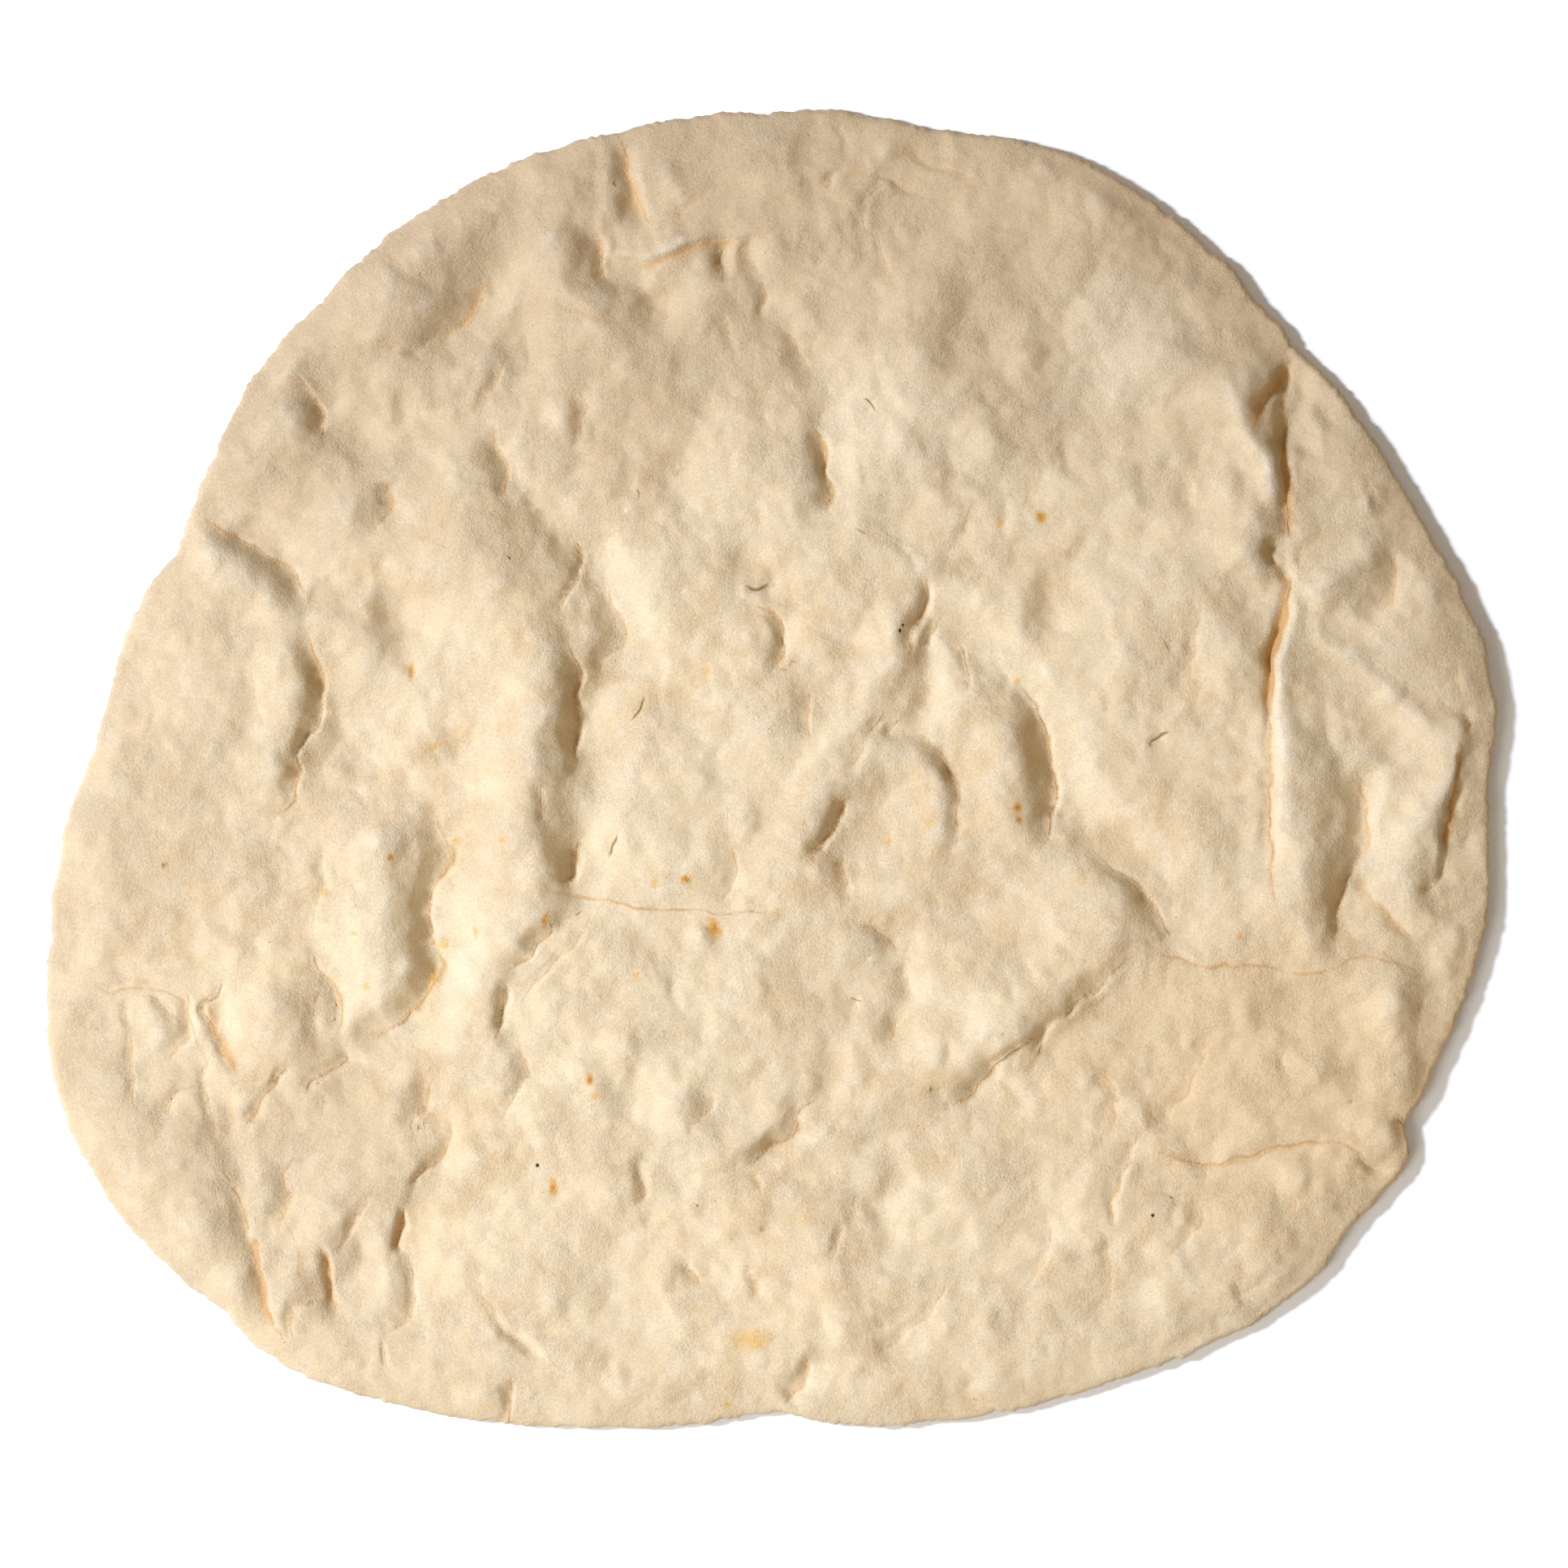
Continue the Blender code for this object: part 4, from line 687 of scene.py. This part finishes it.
class Field:
    """Numbers on an even grid over the dough, such as the height of its relief."""

    def __init__(self):
        self.x = np.arange(-FIELD_HALF_X, FIELD_HALF_X + FIELD_STEP / 2, FIELD_STEP)
        self.y = np.arange(-FIELD_HALF_Y, FIELD_HALF_Y + FIELD_STEP / 2, FIELD_STEP)
        self.X, self.Y = np.meshgrid(self.x, self.y)
        self.relief = np.zeros_like(self.X)
        across = np.fft.rfftfreq(len(self.x), FIELD_STEP)
        along = np.fft.fftfreq(len(self.y), FIELD_STEP)
        self.frequency = np.hypot(*np.meshgrid(across, along))
        # bumps and folds are drawn at these slightly shifted places, which makes their lines uneven
        self.U, self.V = self.X, self.Y

    def blur(self, values, reach):
        softened = np.fft.rfft2(values) * np.exp(-2 * (math.pi * reach * self.frequency) ** 2)
        return np.fft.irfft2(softened, s=values.shape)

    def lumps(self, seed, size):
        """Random smooth lumps about size across, which spread by 1 about 0."""
        values = np.random.default_rng(seed).standard_normal(self.X.shape)
        values = self.blur(values, size / LUMP_SIZE_PER_BLUR)
        return values / values.std()

    def billows(self, seed, size):
        """Rounded lumps with narrow valleys between, which spread by 1 about 0."""
        values = np.hypot(self.lumps(seed, size), BILLOW_SOFTNESS)
        values -= values.mean()
        return values / values.std()

    def shift_places(self, seed, shifts):
        for number, (size, amount) in enumerate(shifts):
            self.U = self.U + amount * self.lumps(seed + 2 * number, size)
            self.V = self.V + amount * self.lumps(seed + 2 * number + 1, size)

    def window(self, low, high):
        """The part of the grid that lies between two corners."""
        left, right = np.searchsorted(self.x, [low[0], high[0]])
        near, far = np.searchsorted(self.y, [low[1], high[1]])
        return slice(near, far), slice(left, right)

    def add_mound(self, strength, x, y, height, reach_left, reach_right=None, half_width=None, turn=0):
        reaches = [FORM_REACH * (reach or reach_left) for reach in (reach_left, reach_right, half_width)]
        reach_left, reach_right, half_width = reaches
        margin = max(reaches) + PLACE_MARGIN
        part = self.window((x - margin, y - margin), (x + margin, y + margin))
        cosine, sine = math.cos(math.radians(turn)), math.sin(math.radians(turn))
        dx, dy = self.U[part] - x, self.V[part] - y
        across = dx * cosine + dy * sine
        along = dy * cosine - dx * sine
        reach = np.where(across < 0, reach_left, reach_right)
        r = np.clip(np.hypot(across / reach, along / half_width), 0, 1)
        self.relief[part] += strength * height * (1 - r * r) ** 2

    def near_line(self, line, reach):
        """The part of the grid that lies near a line, and what to_line tells about its places."""
        points = smooth_line(line, LINE_SPACING)
        margin = reach + PLACE_MARGIN
        part = self.window(points.min(axis=0) - margin, points.max(axis=0) + margin)
        return part, *to_line(points, self.U[part], self.V[part])

    def add_ridge(self, height, reach_right, reach_left, line):
        """A rounded ridge along the line, or a valley where the height is below 0. It falls off over
        one reach on the line's right hand, and over the other on its left."""
        part, distance, side, share = self.near_line(line, max(reach_left, reach_right))
        ends = RIDGE_END_HEIGHT + (1 - RIDGE_END_HEIGHT) * faded_ends(share, RIDGE_END_SHARE)
        r = np.clip(distance / np.where(side > 0, reach_left, reach_right), 0, 1)
        self.relief[part] += height * ends * (1 - r * r) ** 2

    def add_crease(self, depth, reach_right, reach_left, line):
        """A sharp crease along the line. Its walls rise over one reach on the line's right hand, and
        over the other on its left, and it fades out at the line's ends."""
        part, distance, side, share = self.near_line(line, max(reach_left, reach_right))
        distance = np.hypot(distance, CREASE_SOFTNESS) - CREASE_SOFTNESS
        wall = np.clip(1 - distance / np.where(side > 0, reach_left, reach_right), 0, 1)
        self.relief[part] -= depth * faded_ends(share, CREASE_END_SHARE) * wall**2

    def at(self, values, x, y):
        """The values at any places, read between the grid's points."""
        column = np.clip((x - self.x[0]) / FIELD_STEP, 0, len(self.x) - LAST_CELL)
        row = np.clip((y - self.y[0]) / FIELD_STEP, 0, len(self.y) - LAST_CELL)
        left, near = column.astype(int), row.astype(int)
        right_share, far_share = column - left, row - near
        near_row = values[near, left] * (1 - right_share) + values[near, left + 1] * right_share
        far_row = values[near + 1, left] * (1 - right_share) + values[near + 1, left + 1] * right_share
        return near_row * (1 - far_share) + far_row * far_share


def make_relief():
    """The height of the dough's top over the whole field, without the rounding of its edge."""
    field = Field()
    field.shift_places(SHIFT_SEED, PLACE_SHIFTS)
    for height, reach_right, reach_left, line in RIDGES + VALLEYS:
        field.add_ridge(FORM_STRENGTH * height, FORM_REACH * reach_right, FORM_REACH * reach_left, line)
    for mounds, strength in ((MOUNDS, FORM_STRENGTH), (SMALL_MOUNDS, SMALL_STRENGTH)):
        for mound in mounds:
            field.add_mound(strength, *mound)
    field.relief += BROAD_SHARE * field.blur(field.relief, BROAD_REACH)
    field.shift_places(CREASE_SHIFT_SEED, CREASE_SHIFTS)
    for depth, reach_right, reach_left, line in CREASES:
        reaches = [max(CREASE_WIDTH * reach, LEAST_CREASE_REACH) for reach in (reach_right, reach_left)]
        field.add_crease(CREASE_STRENGTH * depth, *reaches, line)
    for kind, first_seed, sizes in ((field.billows, BILLOW_SEED, BILLOWS), (field.lumps, LUMP_SEED, LUMPS)):
        for seed, (size, height) in enumerate(sizes, first_seed):
            field.relief += height * kind(seed, size)
    inset = outline_radius(np.arctan2(field.Y, field.X)) - np.hypot(field.X, field.Y)
    rise = 1 - (1 - np.clip(inset / EDGE_SLOPE_REACH, 0, 1)) ** 2
    fade = np.clip(EDGE_RELIEF + inset / RELIEF_FADE, 0, 1)
    height = EDGE_THICKNESS + (THICKNESS - EDGE_THICKNESS) * rise + field.relief * fade
    field.height = np.maximum(height, THINNEST)
    return field


def square_to_round(a, b):
    """Where a point of the square from -1 to 1 lies on the unit disc, as x and y."""
    wide = np.abs(a) > np.abs(b)
    radius = np.where(wide, a, b)
    ratio = np.where(wide, b, a) / np.where(radius == 0, 1, radius)
    angle = np.where(wide, ratio * math.pi / 4, math.pi / 2 - ratio * math.pi / 4)
    return radius * np.cos(angle), radius * np.sin(angle)


def square_shell():
    """Two square grids joined round their borders by rings of faces. Each vertex holds its place on
    the square as x and y, and as z the number of its ring: 0 on the top, EDGE_STEPS underneath."""
    mesh = bmesh.new()
    grid = {"x_segments": GRID_CELLS, "y_segments": GRID_CELLS, "size": 1.0}
    # the border's places among a grid's vertices, anticlockwise from the first corner
    across = GRID_CELLS + 1
    places = np.arange(across * across).reshape(across, across)
    border = [*places[0, :-1], *places[:-1, -1], *places[-1, :0:-1], *places[:0:-1, 0]]
    top = bmesh.ops.create_grid(mesh, **grid)["verts"]
    last = [top[place] for place in border]
    for ring in range(1, EDGE_STEPS + 1):
        if ring < EDGE_STEPS:
            grown = [mesh.verts.new((*vertex.co.xy, ring)) for vertex in last]
        else:
            under = bmesh.ops.create_grid(mesh, **grid)["verts"]
            for vertex in under:
                vertex.co.z = ring
            grown = [under[place] for place in border]
        for n in range(len(border)):
            mesh.faces.new((last[n], grown[n], grown[n - 1], last[n - 1]))
        last = grown
    bmesh.ops.recalc_face_normals(mesh, faces=mesh.faces)
    data = bpy.data.meshes.new("pizza_base_looks")
    mesh.to_mesh(data)
    mesh.free()
    return data


def vertex_places(data):
    """Three rows, with the x, y and z of the mesh's vertices."""
    places = np.empty(len(data.vertices) * 3)
    data.vertices.foreach_get("co", places)
    return places.reshape(-1, 3).T


def place_shell(data, field):
    """Moves the square shell's vertices to their places on the dough."""
    a, b, ring = vertex_places(data)
    x, y = square_to_round(a, b)
    angle = np.arctan2(y, x)
    share = np.hypot(x, y)
    outline = outline_radius(angle) + edge_wobble(angle) + EDGE_GROWTH
    # rings are spread evenly in turn from straight up on the top to straight down underneath
    turn = math.pi * ring / EDGE_STEPS
    inner = share * (outline - EDGE_ROUNDING)
    radius = np.where(share > BORDER_SHARE, outline - EDGE_ROUNDING * (1 - np.sin(turn)), inner)
    x, y = radius * np.cos(angle), radius * np.sin(angle)
    start = np.minimum(radius, outline - EDGE_ROUNDING)
    top = field.at(field.height, start * np.cos(angle), start * np.sin(angle))
    widest = EDGE_WIDEST_AT * top
    upper = widest + (top - widest) * np.cos(turn)
    lower = widest * (1 + np.cos(turn))
    z = np.where(turn < math.pi / 2, upper, lower)
    data.vertices.foreach_set("co", (np.column_stack([x, y, z]) * MM).ravel())
    data.update()


def thinned(obj, share):
    """A new mesh with only the given share of the object's triangles, most of them where it bends."""
    thin = obj.modifiers.new("thin", "DECIMATE")
    thin.ratio = share
    bpy.context.view_layer.update()
    seen = obj.evaluated_get(bpy.context.evaluated_depsgraph_get())
    data = bpy.data.meshes.new_from_object(seen)
    obj.modifiers.clear()
    return data


def make_dough(field):
    data = square_shell()
    place_shell(data, field)
    obj = bpy.data.objects.new("dough", data)
    bpy.context.scene.collection.objects.link(obj)
    triangles = 2 * len(data.polygons)
    obj.data = thinned(obj, MOST_TRIANGLES / triangles)
    bpy.data.meshes.remove(data)
    obj.data.shade_smooth()
    add_marks(obj.data, field)
    return obj


def line_marks(lines, x, y):
    """How far each place is to the side of the nearest of the lines, in its half widths, with one
    side above 0 and the other below, and how strongly the line shows there."""
    offset = np.full(x.shape, 2 * OFFSET_REACH)
    nearest = np.full(x.shape, OFFSET_REACH)
    second = np.full(x.shape, OFFSET_REACH)
    strength = np.zeros(x.shape)
    for shown, half_width, line in lines:
        points = smooth_line(line, LINE_SPACING)
        low, high = points.min(axis=0) - OFFSET_REACH, points.max(axis=0) + OFFSET_REACH
        near = np.flatnonzero((x > low[0]) & (x < high[0]) & (y > low[1]) & (y < high[1]))
        distance, side, share = to_line(points, x[near], y[near])
        closer = distance < nearest[near]
        second[near] = np.where(closer, nearest[near], np.minimum(second[near], distance))
        near, distance, side, share = near[closer], distance[closer], side[closer], share[closer]
        nearest[near] = distance
        offset[near] = np.copysign(distance, side) / half_width
        # it is at its strongest out to half of its reach
        beside = smooth_step(2 - 2 * distance / LINE_SIDE_REACH)
        strength[near] = shown * faded_ends(share, LINE_END_SHARE) * beside
    # where two lines are about as near, neither shows
    return offset, strength * smooth_step((second - nearest) / LINE_GAP - 1)


def add_marks(data, field):
    """Gives each vertex the numbers that the material reads."""
    x, y, z = vertex_places(data) / MM
    height = field.at(field.height, x, y)
    u, v = field.at(field.U, x, y), field.at(field.V, x, y)
    hollow = np.zeros_like(field.height)
    for reach, weight in HOLLOW_REACHES:
        hollow += weight * (field.blur(field.height, reach) - field.height)
    marks = {
        "hollow": field.at(hollow, x, y),
        "underneath": np.clip(1 - z / (EDGE_WIDEST_AT * height), 0, 1),
    }
    creases = [(CREASE_SHOWN * depth, CREASE_LINE_HALF_WIDTH, line) for depth, _, _, line in CREASES]
    for name, lines in (("line_shade", SHADE_LINES), ("slit", SLITS), ("fold_shade", FOLD_SHADES), ("crease", creases)):
        marks[name + "_offset"], marks[name + "_strength"] = line_marks(lines, u, v)
    for name, values in marks.items():
        attribute = data.attributes.new(name, "FLOAT", "POINT")
        attribute.data.foreach_set("value", values.astype(np.float32))


class Nodes:
    """A short way to write the nodes of a material or of the world."""

    def __init__(self, owner):
        owner.use_nodes = True
        self.tree = owner.node_tree

    def fill(self, node, inputs):
        """Puts values, or what other nodes give, on a node's sockets."""
        for name, value in inputs.items():
            if isinstance(value, bpy.types.NodeSocket):
                self.tree.links.new(value, node.inputs[name])
            else:
                node.inputs[name].default_value = value

    def new(self, kind, inputs, **settings):
        node = self.tree.nodes.new("ShaderNode" + kind)
        for name, value in settings.items():
            setattr(node, name, value)
        self.fill(node, inputs)
        return node

    def add(self, kind, inputs, output=0, **settings):
        """What a new node with the given inputs and settings gives."""
        return self.new(kind, inputs, **settings).outputs[output]

    def math(self, operation, *values):
        return self.add("Math", dict(enumerate(values)), operation=operation)

    def product(self, first, *factors):
        for factor in factors:
            first = self.math("MULTIPLY", first, factor)
        return first

    def attribute(self, name):
        return self.add("Attribute", {}, "Fac", attribute_name=name)

    def ramp(self, value, low, high, top=1.0, bottom=0.0):
        """The bottom value up to low, the top value from high on, and smooth between."""
        limits = {"From Min": low, "From Max": high, "To Min": bottom, "To Max": top}
        return self.add("MapRange", {"Value": value, **limits}, interpolation_type="SMOOTHSTEP")

    def noise(self, place, name):
        """One of the noises, which goes from 0 to 1."""
        size, detail, roughness = NOISES[name]
        shape = {"Scale": 1 / size, "Detail": detail, "Roughness": roughness}
        return self.add("TexNoise", {"Vector": place, **shape}, "Fac")

    def unevenness(self, place, name, amount):
        """One of the noises, spread by the amount about 0."""
        return self.math("MULTIPLY_ADD", self.noise(place, name), amount, -amount / 2)

    def mix(self, share, first, second):
        """The two colours mixed."""
        return self.add("Mix", {"Factor": share, 6: first, 7: second}, 2, data_type="RGBA")

    def layered(self, colour, layers):
        """A colour with layers over it: the value that each one depends on, and its numbers."""
        for value, (low, high, share, layer_colour) in layers:
            colour = self.mix(self.ramp(value, low, high, share), colour, layer_colour)
        return colour

    def spots(self, place, spots):
        """How far a place is from the nearest of the spots, where 1 is a spot's edge."""
        nearest = None
        for spot in spots:
            x, y, half_width, half_length, turn = (*spot, 0)[:5]
            sizes = {"Location": (x, y, 0), "Rotation": (0, 0, math.radians(turn)),
                     "Scale": (half_width, half_length, SPOT_HALF_HEIGHT)}
            inside = self.add("Mapping", {"Vector": place, **sizes}, vector_type="TEXTURE")
            distance = self.add("VectorMath", {0: inside}, "Value", operation="LENGTH")
            nearest = distance if nearest is None else self.math("MINIMUM", nearest, distance)
        return nearest

    def offset(self, name, uneven):
        """How far each place is to the side of the nearest fine line, in the line's half widths."""
        return self.math("ADD", self.attribute(name + "_offset"), uneven)

    def line(self, name, uneven):
        """How much each place is part of a fine line, from the line's two attributes."""
        distance = self.math("ABSOLUTE", self.offset(name, uneven))
        return self.product(self.ramp(distance, *LINE_FADE), self.attribute(name + "_strength"))

    def fold_shade(self, uneven):
        """How much each place is part of a fold's painted shade, which fades out slowly on one side of its
        line.
        """
        offset = self.offset("fold_shade", uneven)
        shown = [self.ramp(offset, *fade) for fade in FOLD_SHADE_FADES]
        return self.product(*shown, self.attribute("fold_shade_strength"))

    def crease_walls(self, uneven):
        """The depth of the creases, whose two walls get steeper towards the sharp line between them."""
        distance = self.math("ABSOLUTE", self.offset("crease", uneven))
        far = self.product(distance, CREASE_LINE_HALF_WIDTH / CREASE_WALL_REACH)
        wall = self.math("MAXIMUM", self.math("SUBTRACT", 1.0, far), 0.0)
        return self.product(wall, wall, self.attribute("crease_strength"))

    def specks(self, place):
        """Tiny dark specks at random places: above 0 inside a speck, and 0 outside."""
        cells = self.new("TexVoronoi", {"Vector": place, "Scale": 1 / SPECK_SPACING}).outputs
        inside = self.ramp(cells["Distance"], *[size * SPECK_SIZE / SPECK_SPACING for size in SPECK_EDGE])
        chosen = self.ramp(self.add("SeparateColor", {0: cells["Color"]}), *SPECK_CHOICE)
        return self.product(inside, chosen, SPECK_STRENGTH)


def new_material(name):
    """A material, its nodes and its shader."""
    material = bpy.data.materials.new(name)
    nodes = Nodes(material)
    return material, nodes, nodes.tree.nodes["Principled BSDF"]


def dough_material():
    material, nodes, shader = new_material("baked_dough")
    coordinates = nodes.add("TexCoord", {}, "Object")
    place = nodes.add("VectorMath", {0: coordinates, 1: (1 / MM,) * 3}, operation="MULTIPLY")
    hollow = nodes.attribute("hollow")
    uneven = nodes.unevenness(place, "uneven", UNEVENNESS)
    # painted shade mask: how far each place lies below its surroundings, made uneven
    hollow_shade_mask = nodes.math("ADD", hollow, uneven)
    broken = nodes.ramp(nodes.noise(place, "broken"), *BROKEN_RANGE)

    # painted light and shade: the crumb is painted palest in the middle, and darker towards the edges, most
    # of all the far one
    from_middle = nodes.math("ADD", nodes.spots(place, [LIT_MIDDLE]),
                             nodes.unevenness(place, "middle", MIDDLE_UNEVENNESS))
    layers = [(nodes.noise(place, "warm"), WARM), (nodes.noise(place, "pale"), PALE), (from_middle, BROAD_SHADE)]
    layers += [(nodes.spots(place, patches), layer) for layer, patches in PATCHES]
    # painted shade: hollows darker and browner; painted light: ridges paler
    # painted light mask: how far each place stands above its surroundings
    high = nodes.math("SUBTRACT", uneven, hollow)
    layers += [(hollow_shade_mask, HOLLOW_SHADE), (hollow_shade_mask, DEEP_SHADE), (high, RIDGE_LIGHT)]
    colour = nodes.layered(CREAM, layers)
    # painted shade in fine lines, from attributes that grow evenly from one side of the line to the other
    for shown, line_colour in (
        (nodes.fold_shade(uneven), FOLD_SHADE_ORANGE),
        (nodes.product(nodes.line("crease", uneven), broken, CREASE_SHADE_TINT), LINE_SHADE_TAN),
        (nodes.product(nodes.line("line_shade", uneven), broken), LINE_SHADE_TAN),
        (nodes.line("slit", uneven), SLIT_SHADE_OLIVE),
    ):
        colour = nodes.mix(shown, colour, line_colour)
    # browned and yellowed spots, and a few dark specks
    wobble = nodes.unevenness(place, "spots", SPOT_UNEVENNESS)
    yellow, brown = (nodes.math("ADD", nodes.spots(place, spots), wobble)
                     for spots in (YELLOW_SPOTS, BROWN_SPOTS))
    dark = nodes.spots(place, DARK_SPECKS)
    colour = nodes.layered(colour, [(yellow, YELLOW), (brown, HALO), (brown, BROWN), (dark, SPECK)])
    colour = nodes.mix(nodes.specks(place), colour, SPECK[-1])
    # floury grain
    grain = nodes.ramp(nodes.noise(place, "grain"), *GRAIN_RANGE,
                       1 + GRAIN_CONTRAST / 2, 1 - GRAIN_CONTRAST / 2)
    colour = nodes.add("VectorMath", {0: colour, 1: grain}, operation="MULTIPLY")
    # the underside has taken more heat
    colour = nodes.layered(colour, [(nodes.attribute("underneath"), UNDERSIDE)])

    # rough crumb in some places and smooth skin in others, and the creases' sharp bottoms
    rough = nodes.ramp(nodes.noise(place, "rough"), *ROUGH_RANGE)
    crumb = nodes.product(nodes.math("ADD", nodes.noise(place, "fine"), nodes.noise(place, "pores")), rough)
    walls = nodes.product(nodes.crease_walls(uneven), broken)
    relief = nodes.math("MULTIPLY_ADD", walls, -CREASE_WALL_DEPTH, crumb)
    normal = nodes.add("Bump", {"Strength": 1.0, "Distance": BUMP_HEIGHT * MM, "Height": relief})
    nodes.fill(shader, {"Base Color": colour, "Normal": normal, **DOUGH_SHADER})
    return material


def make_floor():
    bpy.ops.mesh.primitive_plane_add(size=FLOOR_SIZE, location=(0, 0, FLOOR_GAP * MM))
    floor = bpy.context.object
    floor.name = "floor"
    material, nodes, shader = new_material("pale_floor")
    nodes.fill(shader, FLOOR_SHADER)
    floor.data.materials.append(material)


def make_lights():
    for name, (direction, elevation, distance, size, power, colour) in LAMPS.items():
        light = bpy.data.lights.new(name, "AREA")
        light.shape = "DISK"
        light.size = size
        light.energy = power
        light.color = colour
        lamp = bpy.data.objects.new(name, light)
        bpy.context.scene.collection.objects.link(lamp)
        turn, rise = math.radians(direction), math.radians(elevation)
        away = (math.cos(rise) * math.cos(turn), math.cos(rise) * math.sin(turn), math.sin(rise))
        away = Vector(away).normalized()
        lamp.location = away * distance
        lamp.rotation_euler = away.to_track_quat("Z", "Y").to_euler()


def make_world():
    """A soft fill of light from all round, and plain pale surroundings where they themselves are seen."""
    world = bpy.data.worlds.new("soft_fill")
    nodes = Nodes(world)
    fill = nodes.tree.nodes["Background"]
    nodes.fill(fill, FILL)
    seen = nodes.add("LightPath", {}, "Is Camera Ray")
    either = nodes.add("MixShader", {0: seen, 1: fill.outputs[0], 2: nodes.add("Background", BACKDROP)})
    nodes.fill(nodes.tree.nodes["World Output"], {"Surface": either})
    bpy.context.scene.world = world


def make_camera():
    camera = bpy.data.cameras.new("camera")
    camera.sensor_width = SENSOR
    camera.lens = SENSOR * CAMERA_DISTANCE / FRAME_WIDTH
    camera.clip_end = CAMERA_REACH
    obj = bpy.data.objects.new("camera", camera)
    bpy.context.scene.collection.objects.link(obj)
    obj.location = [value * MM for value in (*FRAME_MIDDLE, CAMERA_DISTANCE + THICKNESS)]
    bpy.context.scene.camera = obj


def main():
    make_camera()
    make_lights()
    make_world()
    make_floor()
    dough = make_dough(make_relief())
    dough.data.materials.clear()
    dough.data.materials.append(dough_material())
    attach(dough, "root")
    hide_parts("pizza_base")


main()
view = bpy.context.scene.view_settings
view.view_transform = "Standard"
